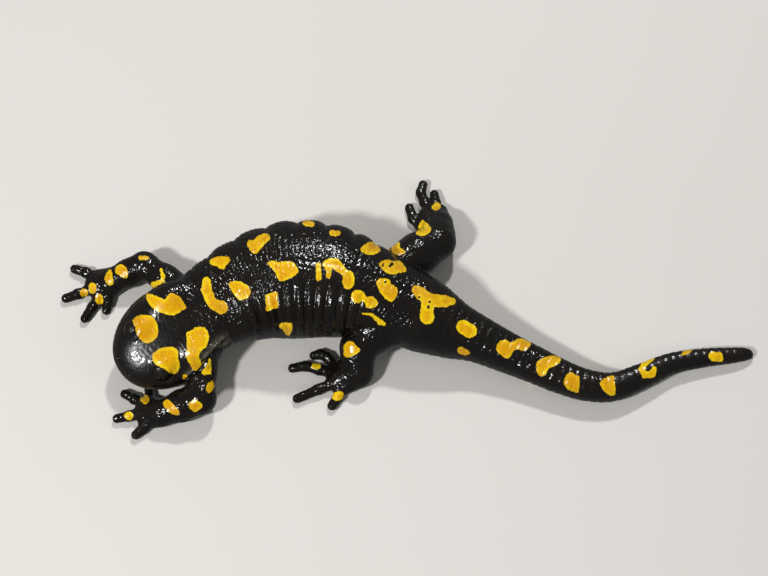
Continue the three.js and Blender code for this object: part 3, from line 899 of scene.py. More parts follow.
def back_glands(p, at):
    """Two rows of small bumps along the spine, with a shallow furrow between them."""
    row = at.station + BACK_GLAND_SHIFT * at.right + 0.5 * patches(p, 5.0)
    bump = 0.5 + 0.5 * np.cos(2 * math.pi * row / BACK_GLAND_PITCH)
    rows = bump * profile(at.girth + wandering(p, *GLAND_WANDER), BACK_GLAND_ROWS)
    return window(at.station, *BACK_GLANDS) * (rows + profile(at.girth, BACK_FURROW))


def wrinkles(p, at):
    """Fine broken creases across the body, and rings around the tail."""
    bent = at.station + wandering(p, *WRINKLE_WANDER) + FINE_BEND * patches(p, FINE_BEND_SIZE)
    nape = window(at.station, *NAPE)
    broken = np.maximum(smooth_step(*PATCH_EDGE, patches(p + 50.0, PATCH_SIZE)), NAPE_PATCHES * nape)
    girdle = at_least(SPINE_WRINKLES, np.maximum(smooth_step(*SPINE_WIDTH, at.girth), nape))
    across = (1 + NAPE_DEPTH * nape) * girdle * broken * creases(bent, *BODY_WRINKLES)
    across = across * window(at.station, *ACROSS)
    slanted = (1 - broken) * creases(bent + SLANT * at.girth, *SLANTED_WRINKLES)
    slanted = slanted * window(at.station, *SLANTED)
    ringed = at.station + wandering(p, *RING_WANDER)
    rings = creases(ringed, *TAIL_RINGS) + creases(ringed + HALF_RING_SHIFT, *TAIL_HALF_RINGS)
    return -across - slanted - rings * window(at.station, *RINGED)


def neck_folds(at):
    """The creases of the neck and throat, each with a low rim before it."""
    total = 0.0
    for station, lean, side, low, high, depth, width in NECK_FOLDS:
        behind = at.station - station - lean * at.elevation / 90
        here = (at.right == (side == "right")) * window(at.elevation, low, high, FOLD_FADE)
        total = total + here * depth * profile(behind / width, FOLD)
    return total


def mouth(at):
    """The lips' relief, a crease with the upper lip standing over it, and the band along the upper lip's
    edge that gets a painted highlight.
    """
    closed = (at.back > -3) * at.on_body  # from just before the snout's tip
    closed = closed * (1 - smooth_step(*MOUTH_CORNER, at.back))
    lip = at.up - LIP_RISE + LIP_DROOP * smooth_step(DROOP_START, MOUTH_LENGTH, at.back)
    return closed * profile(lip, LIPS), closed * ridge(lip, *LIP_HIGHLIGHT_BAND)


def nearest(points, place):
    """The point of the skin nearest to a place."""
    return points[np.argmin(((points - place) ** 2).sum(1))]


def pit(points, place, depth, width):
    """A round hollow with a faint rim, at the skin's nearest point to a place."""
    away = distance_to(*points.T, nearest(points, place))
    return depth * profile(away / width, PIT)


def eye_surround(p, sign):
    """The thickened rim of the lids around an eyeball, and the crease behind it."""
    away = distance_to(*p.T, on_side(EYE, sign)) - EYE_RADIUS
    return np.where(away > -0.05, profile(away, EYE_RIM), 0.0)


def head_details(p, at):
    """The lids, nostrils, pores and lips, and the shallow hollow between the eyes."""
    here = np.nonzero(at.on_head)[0]
    q = p[here]
    total = np.zeros(len(here))
    chance = np.random.default_rng(21)
    for sign in SIDES.values():
        total += eye_surround(q, sign)
        total += pit(q, on_side(NOSTRIL, sign), *NOSTRIL_PIT)
        for (centre, sizes), count in PORES:
            for _ in range(count):
                back, out = chance.uniform(-PORE_SPREAD, PORE_SPREAD, 2)
                up = math.sqrt(max(1 - back**2 - out**2, 0.05))
                place = np.add(centre, np.multiply(sizes, (back, out, up)))
                total += pit(q, on_side(place, sign), *PORE_PIT)
    depth, width, back, length = BETWEEN_EYES
    hollow = ridge(at.out[here], 0, width) * ridge(at.back[here], back, length)
    total += -depth * hollow * (at.up[here] > 2)
    full = np.zeros(len(p))
    full[here] = total
    return full + mouth(at)[0]


def fold_place(p):
    """Distances from the fold behind the left jaw, how much of it is there, and which points
    lie on its side towards the head."""
    away, along, length = chain_place(p, [np.array(c) for c in JAW_FOLD], [0.0] * len(JAW_FOLD))
    start, end, last = FOLD_ENDS
    there = smooth_step(0, start, along) * (1 - smooth_step(length - end, length - last, along))
    run = np.subtract(JAW_FOLD[-1], JAW_FOLD[0])[:2]
    reach = p[:, :2] - JAW_FOLD[0][:2]
    turn = run[0] * reach[:, 1] - run[1] * reach[:, 0]
    return away, there, turn > HEADWARD


def jaw_fold(p):
    """The fold of skin from the left corner of the jaw over the shoulder."""
    away, there, headward = fold_place(p)
    rim = np.where(headward, *JAW_FOLD_RIMS) * ridge(away, *JAW_FOLD_RIM)
    return there * (rim - profile(away, [JAW_FOLD_CREASE]))


def leg_details(p, at, leg):
    """A leg's fine wrinkles, the creases at its joints, and those across its toes."""
    path, radii = leg_chain(leg)
    away, along, _ = chain_place(p, path, radii)
    on_leg = ridge(np.maximum(away, 0), 0, LEG_FADE) * (1 - at.on_body)
    joints = np.cumsum([math.dist(a, b) for a, b in zip(path, path[1:])])[1::2]
    total = creases(along + wandering(p, *LEG_WANDER), *LEG_WRINKLES)
    total = total * smooth_step(-0.3, 0.3, patches(p, 3.0))
    depth, width = JOINT_CREASE
    waves = [(depth, joint + step, width) for joint in joints for step in JOINT_STEPS]
    total = (total + profile(along + wandering(p, *JOINT_WANDER), waves)) * on_leg
    depth, width = TOE_CREASE
    for toe in leg["toes"]:
        away, along, length = chain_place(p, *toe_chain(leg, toe))
        on_toe = ridge(np.maximum(away, 0), 0, TOE_FADE)
        total = total + on_toe * profile(along, [(depth, share * length, width) for share in TOE_SHARES])
    return -total


def granular(p, at):
    """How granular the skin is: a little on the snout, fully on the trunk and the legs."""
    limb = np.min([leg_distance(*p.T, leg) for leg in LEGS.values()], axis=0)
    trunk = at_least(SNOUT_GRAIN, smooth_step(*GRAIN_RISE, at.station))
    trunk = trunk * (1 - DULL_TAIL * smooth_step(*DULLING, at.station))
    return np.maximum(trunk, 1 - smooth_step(*LIMB_EDGE, limb))


def detail_height(p, at):
    """How far every detail moves the skin out along its normals."""
    body = trunk_grooves(p, at) + edge_glands(at) + back_glands(p, at) + wrinkles(p, at) + neck_folds(at)
    body = at.on_body * body * smooth_step(*BODY_START, at.station)
    total = body + head_details(p, at) + jaw_fold(p)
    for leg in LEGS.values():
        total = total + leg_details(p, at, leg)
    fine = sum(height * grain(p + 9.0 * i, size) for i, (height, size) in enumerate(GRAINS))
    on_floor = 1 - smooth_step(0.0, FLOOR_HEIGHT, p[:, 2])
    return (total + fine * granular(p, at)) * (1 - FLOOR_LOSS * on_floor)


# ---- the camera's place ----

IMAGE_WIDTH, IMAGE_HEIGHT = 768, 576
FOCAL_PIXELS = 1860.0
CAMERA_ELEVATION = math.radians(65)
CAMERA_DISTANCE = 620.0
CAMERA_TARGET = np.array([-6.8, 6.8, 0.0])  # in part coordinates
CAMERA_BACK = np.array([0.0, -math.cos(CAMERA_ELEVATION), math.sin(CAMERA_ELEVATION)])
CAMERA_UP = np.array([0.0, math.sin(CAMERA_ELEVATION), math.cos(CAMERA_ELEVATION)])
CAMERA_PLACE = CAMERA_TARGET + CAMERA_BACK * CAMERA_DISTANCE


def to_pixels(points):
    """Where the photograph shows points, and how far in front of the camera they are."""
    away = points - CAMERA_PLACE
    depth = -away @ CAMERA_BACK
    u = IMAGE_WIDTH / 2 + FOCAL_PIXELS * away[:, 0] / depth
    v = IMAGE_HEIGHT / 2 - FOCAL_PIXELS * (away @ CAMERA_UP) / depth
    return u, v, depth


# ---- the yellow spots ----

# Each spot is an outline, or a chain of discs, in pixels of the photograph: x, y and radius.
SPOT_OUTLINES = {
    "right_eyelid": [(134, 318), (140, 315), (151, 316), (156, 321), (158, 329), (157, 336), (153, 341),
        (147, 343.5), (141, 340), (137, 334), (135, 327), (133, 323)],
    "left_eyelid": [(152, 355), (157, 350), (165, 347), (173.5, 347.5), (177.5, 352), (178.5, 360),
        (180, 365), (178, 372), (173.5, 374), (168.5, 372.5), (165, 369.5), (157, 365.5), (153, 361)],
    "right_parotoid": [(146, 294), (153, 294.5), (161, 298), (165, 299), (168, 294.5), (173.5, 293.5),
        (180.5, 297.5), (185, 304), (185.5, 308), (180.5, 312), (172.5, 315.5), (166, 314), (157, 311),
        (151, 306), (147, 300.5)],
    "left_parotoid": [(186.5, 333), (192, 330), (197, 327), (204, 327.5), (208, 332), (209, 339),
        (207, 345.5), (202, 350.5), (199.5, 356.5), (200.5, 362), (201, 367), (196, 371), (192, 369),
        (190, 364), (186, 357), (187, 347.5), (186.5, 340)],
    "left_shoulder": [(202, 365), (205, 360), (208, 358), (211, 362), (211.5, 373), (207, 374.5),
        (202, 374)],
    "right_row_1": [(209.5, 261), (212, 258), (218, 257), (227.5, 256.5), (230, 261), (226.5, 265),
        (224, 269.5), (220.5, 269), (216.5, 266), (211, 265)],
    "right_row_2": [(247, 242.5), (249, 240), (254, 239.5), (260.5, 234.5), (267, 233.5), (270, 237),
        (267, 242.5), (261, 248), (257.5, 253.5), (253, 253.5), (248.5, 248)],
    "right_row_5": [(360.5, 249), (364, 245), (369.5, 242), (375, 242.5), (380, 248.5), (378.5, 252.5),
        (372.5, 255), (367.5, 254.5), (362.5, 252.5)],
    "right_row_6": [(379.5, 263), (384, 260), (389, 259.5), (393.5, 261), (399, 260.5), (403.5, 264),
        (406.5, 268.5), (405, 272), (399.5, 272.5), (392, 274.5), (385, 272), (381, 268)],
    "left_row_1": [(228.5, 284.5), (231, 281.5), (238, 280.5), (245.5, 284), (249.5, 287.5), (251, 292.5),
        (248, 297.5), (244, 299.5), (239.5, 300.5), (235.5, 296.5), (231.5, 291)],
    "left_row_2": [(267.5, 264), (270.5, 261), (281, 261.5), (290.5, 261), (296.5, 265.5), (298.5, 271),
        (293, 277), (285, 280.5), (280, 280.5), (276.5, 276.5), (274, 271)],
    "left_row_3": [(265, 295.5), (266, 294), (272, 292.5), (276, 292), (277.5, 293), (278, 300),
        (278, 306), (276, 308), (271, 309.5), (267.5, 311), (266, 309.5), (265.5, 302)],
    "flank": [(279, 325), (283, 322.5), (288, 322.5), (291.5, 322), (292.5, 325), (292, 330),
        (289.5, 335), (286.5, 335), (282.5, 329.5), (279.5, 327.5)],
    "left_row_7": [(376.5, 282), (380, 278.5), (385, 278.5), (389, 280), (391.5, 284), (396.5, 287),
        (398, 291.5), (396.5, 296.5), (393, 301.5), (388, 300.5), (383.5, 297), (380, 292), (377.5, 287)],
    "right_upper_arm": [(115, 270.5), (116.5, 266), (122, 264.5), (126, 267.5), (128, 274),
        (126.5, 278.5), (122, 277.5), (117, 274)],
    "right_forearm": [(104.5, 277.5), (106.5, 273), (110, 269.5), (112, 273.5), (113, 280),
        (112.5, 284.5), (108.5, 285), (105.5, 282)],
    "left_forearm": [(188.5, 406), (190.5, 401.5), (195.5, 399.5), (199, 402), (202.5, 405), (200, 409.5),
        (195.5, 411.5), (190.5, 409.5)],
    "left_knee": [(343.5, 350), (344, 345), (347, 341.5), (352, 341.5), (357, 346), (360, 350),
        (356, 354), (349.5, 357), (344.5, 356.5)],
    "right_knee": [(416, 233), (418.5, 229.5), (423.5, 228), (429.5, 226.5), (431, 229), (429.5, 233),
        (425, 235), (421.5, 236), (417.5, 235)],
    "right_ankle": [(418.5, 228), (420, 223), (422.5, 220), (426, 222.5), (429.5, 226), (424, 228)],
    "right_thigh": [(391.5, 244.5), (395.5, 241), (399, 242), (400, 247), (405.5, 251), (404.5, 253.5),
        (398, 255), (394, 253), (391.5, 249.5)],
    "tail_6": [(600, 383.5), (603.5, 379), (608.5, 376), (614, 376), (615, 383.5), (615.5, 392.5),
        (612, 396), (607, 394), (603, 390)],
    "tail_5": [(564, 380), (566, 375.5), (571, 372), (575.5, 375), (579, 376.5), (579.5, 384),
        (578.5, 392), (574.5, 392), (568.5, 389.5), (564.5, 385)],
    "tail_9": [(708.5, 355.5), (711.5, 351.5), (716, 352), (721, 352.5), (723, 357), (722, 361.5),
        (714.5, 362), (709.5, 359)],
    "left_row_5": [(323, 262), (326.5, 259.5), (331, 258), (338, 259), (343, 264.5), (346.5, 269),
        (351.5, 271.5), (354.5, 278), (353.5, 285), (349.5, 289), (345, 288.5), (342.5, 282.5),
        (342, 276), (336, 271.5), (332, 268.5), (331, 274), (329.5, 278.5), (326, 277), (325.5, 270),
        (323, 266)],
    "left_row_6": [(351, 297), (353.5, 291.5), (358, 290), (363.5, 292.5), (366.5, 296.5), (371, 296),
        (376, 299), (378, 303.5), (374.5, 307.5), (368, 308), (365, 304.5), (362, 301.5), (357.5, 303.5),
        (352.5, 301.5)],
    "left_upper_arm": [(206, 388.5), (207.5, 384), (211.5, 381), (214, 384), (213.5, 388.5), (210, 393),
        (207, 392)],
    "left_wrist": [(163.5, 403), (166.5, 399.5), (170, 400.5), (174.5, 405), (178.5, 410.5), (179, 414.5),
        (174.5, 415), (169, 412), (164.5, 407.5)],
    "tail_1": [(496.5, 347.5), (499.5, 341.5), (505.5, 339.5), (511, 342.5), (515.5, 339.5), (522, 338.5),
        (527.5, 340.5), (531.5, 343.5), (527, 349.5), (522, 350.5), (516.5, 349), (513, 352),
        (510.5, 356), (506, 358), (500.5, 355), (497, 351)],
    "tail_4": [(536, 367.5), (537, 361.5), (543, 358), (551.5, 355.5), (558, 356.5), (560.5, 360),
        (557, 365), (551, 367.5), (548, 370), (545.5, 374), (542, 376.5), (537.5, 373.5)],
    "tail_8": [(681, 354.5), (685, 350.5), (692.5, 349.5), (691, 352), (686.5, 354.5)],
}
SPOT_CHAINS = {
    "jaw_angle": [(185, 377, 2.7)],
    "right_shoulder": [(154, 284.5, 3.2), (158, 282.5, 2), (161.5, 281, 2.2)],
    "right_shoulder_strip": [(162.5, 281, 2.2), (163, 276, 2), (161, 270, 1.7)],
    "neck_crescent": [(206.5, 281.5, 4.4), (206.5, 289.5, 4.7), (209.5, 298, 4.8), (213.5, 304, 5),
        (221.5, 307.5, 6.4)],
    "right_row_3": [(305.5, 223, 3), (311.5, 224, 3)],
    "right_row_4": [(332, 233, 3), (338, 233, 2.8)],
    "left_row_4": [(318.5, 265, 2.6), (319, 278, 2.8)],
    "left_thigh": [(363, 313.5, 1.1), (371, 314.5, 1.4), (376, 318.5, 2), (380, 322, 2.3), (384, 324, 2)],
    "pelvis_arm": [(416, 290, 4.6), (421, 293.5, 6), (429, 299.5, 6.4), (437, 300.5, 5.8),
        (445, 301.5, 5.6), (452, 301, 3.8)],
    "pelvis_leg": [(428, 301, 6.8), (427, 309, 6.2), (427, 317, 7.4)],
    "tail_base": [(463, 327, 7), (470, 331, 7)],
    "tail_side": [(460.5, 350, 3.6), (466.5, 352.5, 3.2)],
    "tail_7": [(652, 358, 2.6), (645, 363, 2.8), (641.5, 369, 3), (645, 375, 3), (651.5, 374.5, 3),
        (654.5, 368.5, 2.6)],
    "right_elbow": [(140.5, 258, 2.3), (146.5, 258, 2.3)],
    "right_wrist": [(92.5, 286, 3.6), (92.5, 290, 3.8)],
    "right_finger_1": [(84, 292.7, 4.2)],
    "right_finger_2": [(99.2, 297.5, 4), (99.4, 300.5, 4)],
    "left_palm": [(145, 399.3, 4.6)],
    "left_finger": [(128.8, 415.8, 4.4)],
    "left_toe_3": [(315, 366, 3.8), (317, 366, 3.6)],
    "left_toe_5": [(336.5, 396.5, 4.4), (339.5, 395.5, 4.4)],
    "right_toe": [(435.5, 207, 3.8), (437, 206, 3.6)],
}
# Black marks inside the spots, as chains of discs too.
DARK_MARKS = {
    "right_row_6_slit": [(382.5, 266, 0.9), (384, 263.5, 0.9)],
    "right_row_6_mark": [(390, 266, 1.5), (392, 264, 1.5)],
    "left_row_7_dot": [(385.5, 281.5, 1.1)],
    "pelvis_dot_1": [(429.5, 301.5, 1.5)],
    "pelvis_dot_2": [(428.5, 307, 1.4)],
    "pelvis_dot_3": [(419, 297, 1.1)],
}
# Spots that the photograph doesn't show: station, side, elevation in degrees, radius in mm.
HIDDEN_SPOTS = [
    [(9.5, "right", -48, 1.5), (12.5, "right", -52, 1.2)],
    [(20.5, "right", -30, 1.7)],
    [(15.5, "left", -62, 1.4)],
    [(27.5, "right", -66, 1.8), (30, "right", -72, 1.3)],
    [(33.0, "left", -55, 1.7)],
    [(44.5, "right", -8, 2.0), (47.0, "right", 2, 1.6)],
    [(56.5, "right", -18, 2.3), (59.5, "right", -14, 1.8)],
    [(68.5, "right", 4, 1.8), (68.0, "right", -8, 2.2)],
    [(79.0, "right", -20, 2.2), (82.0, "right", -26, 1.6)],
    [(90.0, "right", 0, 2.1)],
    [(50.5, "left", -50, 1.9), (53.0, "left", -56, 1.5)],
    [(74.5, "left", -48, 1.8)],
    [(85.5, "left", -46, 1.6), (88.0, "left", -52, 1.9)],
    [(61.0, "left", -74, 1.5)],
    [(71.5, "right", -68, 1.7)],
    [(118.0, "right", -8, 1.9), (121.0, "right", -2, 1.5)],
    [(133.0, "right", -5, 1.5)],
    [(148.0, "left", -50, 1.6)],
    [(163.0, "right", -2, 1.4), (165.5, "right", 6, 1.1)],
    [(186.0, "right", -14, 1.2)],
]
SPOT_REACH = 3.0  # mm around a spot's edge for which its distance is worked out
HIDING_LOSS = 0.8  # how fast a spot ends behind the silhouette, per mm of depth
HIDING_MARGIN = 0.5  # mm of depth, and of distance, that don't count for it
DISC_BLEND = 2.0  # pixels
HIDDEN_BLEND = 1.2  # mm
ON_BODY = 0.9  # how much of a place is the body's and not a leg's
DEGREES_IN_MM = 30.0  # squared degrees that count as much as a squared mm of station


def closed_curve(corners, steps=5):
    """A smooth closed line through an outline's corners."""
    ring = np.array(corners[-1:] + corners + corners[:2], float)
    return catmull_rom(ring, 1 + np.arange(len(corners) * steps) / steps)


def outline_distance(u, v, outline):
    """Pixels from a closed outline, negative inside."""
    ring = closed_curve(outline)
    best, inside = np.full(len(u), FAR), np.zeros(len(u), bool)
    for (ax, ay), (bx, by) in zip(ring, np.roll(ring, -1, axis=0)):
        ex, ey = bx - ax, by - ay
        t = np.clip(((u - ax) * ex + (v - ay) * ey) / (ex * ex + ey * ey), 0, 1)
        best = np.minimum(best, np.hypot(u - ax - ex * t, v - ay - ey * t))
        crossed = (ay > v) != (by > v)
        inside ^= crossed & (u < ax + (v - ay) / np.where(crossed, by - ay, 1) * ex)
    return np.where(inside, -best, best)


def discs_distance(u, v, chain):
    """Pixels from a chain of discs with rounded lengths between them, negative inside."""
    points = [np.array((x, y, 0.0)) for x, y, _ in chain]
    radii = [r for *_, r in chain]
    if len(chain) == 1:
        return np.hypot(u - points[0][0], v - points[0][1]) - radii[0]
    return chain_distance(u, v, 0.0, points, radii, DISC_BLEND)


def photo_spots(points, skin):
    """Each point's distance from the spots in the photograph, in millimetres."""
    u, v, depth = to_pixels(points)
    spot = np.full(len(points), SPOT_REACH)
    shapes = [(outline_distance, shape, 0.0) for shape in SPOT_OUTLINES.values()]
    shapes += [(discs_distance, shape, max(r for *_, r in shape)) for shape in SPOT_CHAINS.values()]
    for distance, shape, radius in shapes:
        plan = np.array([corner[:2] for corner in shape])
        reach = radius + SPOT_REACH * FOCAL_PIXELS / CAMERA_DISTANCE
        low, high = plan.min(0) - reach, plan.max(0) + reach
        near = np.nonzero((u > low[0]) & (u < high[0]) & (v > low[1]) & (v < high[1]))[0]
        away = distance(u[near], v[near], shape) * depth[near] / FOCAL_PIXELS
        spot[near] = np.minimum(spot[near], away)
    for chain in DARK_MARKS.values():
        spot = np.maximum(spot, -discs_distance(u, v, chain) * depth / FOCAL_PIXELS)
    return spot + HIDING_LOSS * hidden_depth(points, skin, spot < SPOT_REACH - HIDING_MARGIN)


def hidden_depth(points, skin, chosen):
    """How far chosen points lie behind what the photograph shows in front of them."""
    origin = (CAMERA_PLACE + SHIFT) * MM
    hidden = np.zeros(len(points))
    for i in np.nonzero(chosen)[0]:
        to_point = Vector((points[i] + SHIFT) * MM - origin)
        found, place, _, _ = skin.ray_cast(Vector(origin), to_point.normalized())
        if found:
            hidden[i] = (to_point.length - (place - Vector(origin)).length) / MM
    return np.maximum(hidden - HIDING_MARGIN, 0)


def hidden_spots(points, at):
    """Each point's distance from the spots that the photograph doesn't show."""
    spot = np.full(len(points), FAR)
    for chain in HIDDEN_SPOTS:
        places = []
        for station, side, elevation, radius in chain:
            miss = (at.station - station) ** 2 + (at.elevation - elevation) ** 2 / DEGREES_IN_MM
            miss = miss + FAR * ((at.right != (side == "right")) | (at.on_body < ON_BODY))
            places.append((points[np.argmin(miss)], radius))
        for centre, radius in places:
            spot = smooth_min(spot, distance_to(*points.T, centre) - radius, HIDDEN_BLEND)
    return spot


# ---- meshes ----

def make_object(name, points, faces):
    """A smooth mesh object from points in part coordinates, in millimetres."""
    mesh = bpy.data.meshes.new(name)
    mesh.vertices.add(len(points))
    mesh.vertices.foreach_set("co", ((points + SHIFT) * MM).astype(np.float32).ravel())
    width = faces.shape[1]
    mesh.loops.add(faces.size)
    mesh.loops.foreach_set("vertex_index", faces.astype(np.int32).ravel())
    mesh.polygons.add(len(faces))
    mesh.polygons.foreach_set("loop_start", np.arange(0, faces.size, width, dtype=np.int32))
    mesh.polygons.foreach_set("use_smooth", np.ones(len(faces), bool))
    mesh.update(calc_edges=True)
    mesh.validate()
    piece = bpy.data.objects.new(name, mesh)
    bpy.context.scene.collection.objects.link(piece)
    return piece


def keep_values(piece, name, values):
    """Stores one number for each point, for the piece's material."""
    attribute = piece.data.attributes.new(name, "FLOAT", "POINT")
    attribute.data.foreach_set("value", values.astype(np.float32))


# ---- materials ----

class Nodes:
    """A material's nodes, made and joined by short calls. Sizes are in millimetres."""

    def __init__(self, name):
        self.material = bpy.data.materials.new(name)
        self.material.use_nodes = True
        self.tree = self.material.node_tree
        self.shader = self.tree.nodes["Principled BSDF"]

    def put(self, value, socket):
        """Links a socket to another node's output, or sets its constant."""
        if isinstance(value, bpy.types.NodeSocket):
            self.tree.links.new(value, socket)
        else:
            socket.default_value = value

    def node(self, kind, inputs, output=0, **settings):
        """The chosen output of a new node, with its inputs and settings."""
        made = self.tree.nodes.new(kind)
        for name, value in settings.items():
            setattr(made, name, value)
        for name, value in inputs.items():
            self.put(value, made.inputs[name])
        return made.outputs[output]

    def math(self, operation, a, b=0.0, c=0.0):
        return self.node("ShaderNodeMath", {0: a, 1: b, 2: c}, operation=operation)

    def mix(self, share, a, b):
        """One colour turning into another."""
        return self.node("ShaderNodeMix", {0: share, 6: a, 7: b}, 2, data_type="RGBA")

    def step(self, value, low, high):
        """From 0 to 1 while a value goes from low to high."""
        return self.node("ShaderNodeMapRange", {0: value, 1: low, 2: high}, interpolation_type="SMOOTHSTEP")

    def stored(self, name):
        """The number that the mesh holds for each point under a name."""
        return self.node("ShaderNodeAttribute", {}, 2, attribute_name=name)

    def noise(self, place, size, detail, seed=0.0):
        """Noise with a size, its detail, and a seed that shifts it."""
        shifted = self.node("ShaderNodeVectorMath", {0: place, 1: (seed, 2 * seed, 3 * seed)})
        inputs = {"Vector": shifted, "Scale": 1 / (size * MM), "Detail": detail}
        return self.node("ShaderNodeTexNoise", inputs)

    def cells(self, place, size, **settings):
        """The distance from the nearest of many scattered points, in shares of their spacing."""
        return self.node("ShaderNodeTexVoronoi", {"Vector": place, "Scale": 1 / (size * MM)}, **settings)

    def place(self):
        """Object coordinates."""
        return self.node("ShaderNodeTexCoord", {}, 3)

    def bump(self, height, strength, depth):
        """A normal tilted by a height, whose full value is the depth."""
        return self.node("ShaderNodeBump", {"Strength": strength, "Distance": depth * MM, "Height": height})

    def set(self, **values):
        """Sets the shader's inputs, named with underlines for spaces."""
        for name, value in values.items():
            self.put(value, self.shader.inputs[name.replace("_", " ")])


def srgb(red, green, blue):
    """A colour given as 0 to 255 on a screen."""
    channels = [c / 255 for c in (red, green, blue)]
    return (*[c / 12.92 if c < 0.04 else ((c + 0.055) / 1.055) ** 2.4 for c in channels], 1)


LEMON = srgb(252, 216, 10)
AMBER = srgb(234, 176, 0)
DEEP_AMBER = srgb(212, 144, 0)
RUST = srgb(212, 128, 2)
PIT_BROWN = srgb(120, 62, 8)
# painted shade: the brown that darkens the yellow in the skin's creases
CREASE_SHADE = srgb(206, 112, 2)
EDGE_BROWN = srgb(150, 100, 6)
BLACK = srgb(11, 10, 10)
WARM_BLACK = srgb(27, 22, 16)
# painted highlight: the pale grey laid along the upper lip's edge and the jaw fold's rim
RIM_HIGHLIGHT_GREY = srgb(92, 88, 74)
IRIS_DARK = srgb(20, 13, 9)
IRIS_LIGHT = srgb(58, 36, 18)
SCLERA = srgb(14, 13, 14)
PUPIL = srgb(3, 3, 4)
FLOOR_TONES = (srgb(222, 219, 213), srgb(230, 227, 222))

SPOT_EDGE = (0.07, -0.09)  # mm from a spot's line between which black turns into yellow
RAGGEDNESS = 0.75  # mm by which noise shifts that line
PUPIL_EDGE = (31.0, 27.0)  # degrees from the middle of an eye's gaze
IRIS_EDGE = (54.0, 62.0)


def yellow_colour(n, place, spot):
    """Lemon at a spot's edge and amber inside, with darker blotches, pits and rim, and painted shade in the
    skin's creases.
    """
    blotch = n.noise(place, 3.2, 3.0, 0.7)
    inside = n.step(n.math("MULTIPLY_ADD", blotch, -2.4, spot), -1.2, -2.8)
    colour = n.mix(inside, LEMON, AMBER)
    layers = [  # where each darker tone lies, its strength and the tone
        (n.step(n.noise(place, 9.0, 2.0, 3.7), 0.42, 0.62), 0.55, DEEP_AMBER),
        (n.step(n.noise(place, 1.1, 2.0, 1.3), 0.58, 0.72), 0.5, RUST),
        (n.step(n.cells(place, 1.7), 0.16, 0.08), 0.75, PIT_BROWN),
        # painted shade: the yellow darkens where the skin lies below its surroundings
        (n.stored("crease"), 0.7, CREASE_SHADE),
        (n.step(spot, -0.2, 0.0), 0.5, EDGE_BROWN),
    ]
    for there, strength, tone in layers:
        colour = n.mix(n.math("MULTIPLY", there, strength), colour, tone)
    return colour


def black_colour(n, place):
    """Almost even, a little brown in places, and lightened to grey by a painted highlight along the upper
    lip's edge and the jaw fold's rim.
    """
    black = n.mix(n.noise(place, 9.0, 3.0, 2.1), BLACK, WARM_BLACK)
    streaks = n.step(n.noise(place, 1.6, 3.0, 6.1), 0.3, 0.7)
    # the painted highlight, broken into streaks
    rim_highlight = n.math("MULTIPLY", n.stored("rim_highlight"), n.math("MULTIPLY_ADD", streaks, 0.6, 0.3))
    return n.mix(rim_highlight, black, RIM_HIGHLIGHT_GREY)


def skin_roughness(n, place, yellow):
    """Glossier where the skin is granular, though the yellow is drier there than the black."""
    wet = n.math("MULTIPLY_ADD", n.noise(place, 5.0, 3.0, 3.3), 0.16, 0.26)
    wet = n.math("MULTIPLY_ADD", n.stored("rough"), -0.16, wet)
    drier = n.math("MULTIPLY_ADD", n.stored("rough"), 0.16, -0.07)
    return n.math("MULTIPLY_ADD", yellow, drier, wet)


def skin_relief(n, place, yellow):
    """Relief too fine for the mesh: rounded granules and a finer grain, lower on the yellow."""
    granules = n.step(n.cells(place, 1.0, feature="SMOOTH_F1"), 0.75, 0.1)
    relief = n.math("MULTIPLY_ADD", n.noise(place, 0.35, 2.0, 4.1), 0.25, granules)
    relief = n.math("MULTIPLY", relief, n.math("MULTIPLY_ADD", yellow, -0.5, 1.0))
    return n.bump(n.math("MULTIPLY", relief, n.stored("relief")), 0.8, 0.16)


def skin_material():
    """Wet black skin with yellow spots."""
    n = Nodes("wet_skin")
    place = n.place()
    ragged = n.math("ADD", n.noise(place, 2.6, 3.0, 0.2), n.noise(place, 0.8, 2.0, 0.4))
    shift = n.math("MULTIPLY_ADD", ragged, RAGGEDNESS, -RAGGEDNESS)
    spot = n.math("ADD", n.stored("spot"), shift)
    yellow = n.step(spot, *SPOT_EDGE)
    n.set(Base_Color=n.mix(yellow, black_colour(n, place), yellow_colour(n, place, spot)))
    n.set(Roughness=skin_roughness(n, place, yellow))
    n.set(Specular_IOR_Level=0.42, Coat_Weight=0.25, Coat_Roughness=0.06, Coat_IOR=1.36)
    relief = skin_relief(n, place, yellow)
    n.set(Normal=relief, Coat_Normal=relief)
    return n.material


def eye_material():
    """A near-black iris with brown flecks around a black pupil, under a clear wet coat."""
    n = Nodes("wet_eye")
    gaze = n.stored("gaze")
    flecks = n.noise(n.place(), 0.35, 4.0, 5.5)
    iris = n.mix(n.step(flecks, 0.5, 0.75), IRIS_DARK, IRIS_LIGHT)
    pupil = n.step(n.math("MULTIPLY_ADD", flecks, 3.0, gaze), *PUPIL_EDGE)
    white = n.step(gaze, *IRIS_EDGE)
    n.set(Base_Color=n.mix(pupil, n.mix(white, iris, SCLERA), PUPIL))
    n.set(Roughness=n.math("MULTIPLY_ADD", white, 0.12, 0.06))
    n.set(Specular_IOR_Level=0.5, Coat_Weight=1.0, Coat_Roughness=0.02, Coat_IOR=1.38)
    n.set(Normal=n.bump(flecks, 0.3, 0.04))
    return n.material


def floor_material():
    """A matt pale floor, not quite even."""
    n = Nodes("pale_floor")
    n.set(Base_Color=n.mix(n.noise(n.place(), 400.0, 3.0), *FLOOR_TONES), Roughness=0.85)
    return n.material


# ---- the eyes ----

GAZE = (-0.35, 0.8, 0.48)  # ahead is -back, out, up
EYE_SUBDIVISIONS = 6
CORNEA_ANGLE = 64.0  # degrees from the gaze to the clear front's edge
CORNEA_RISE = 0.12
CORNEA_GROOVE = (0.03, 5.0)  # depth, and width in degrees, of the groove at that edge


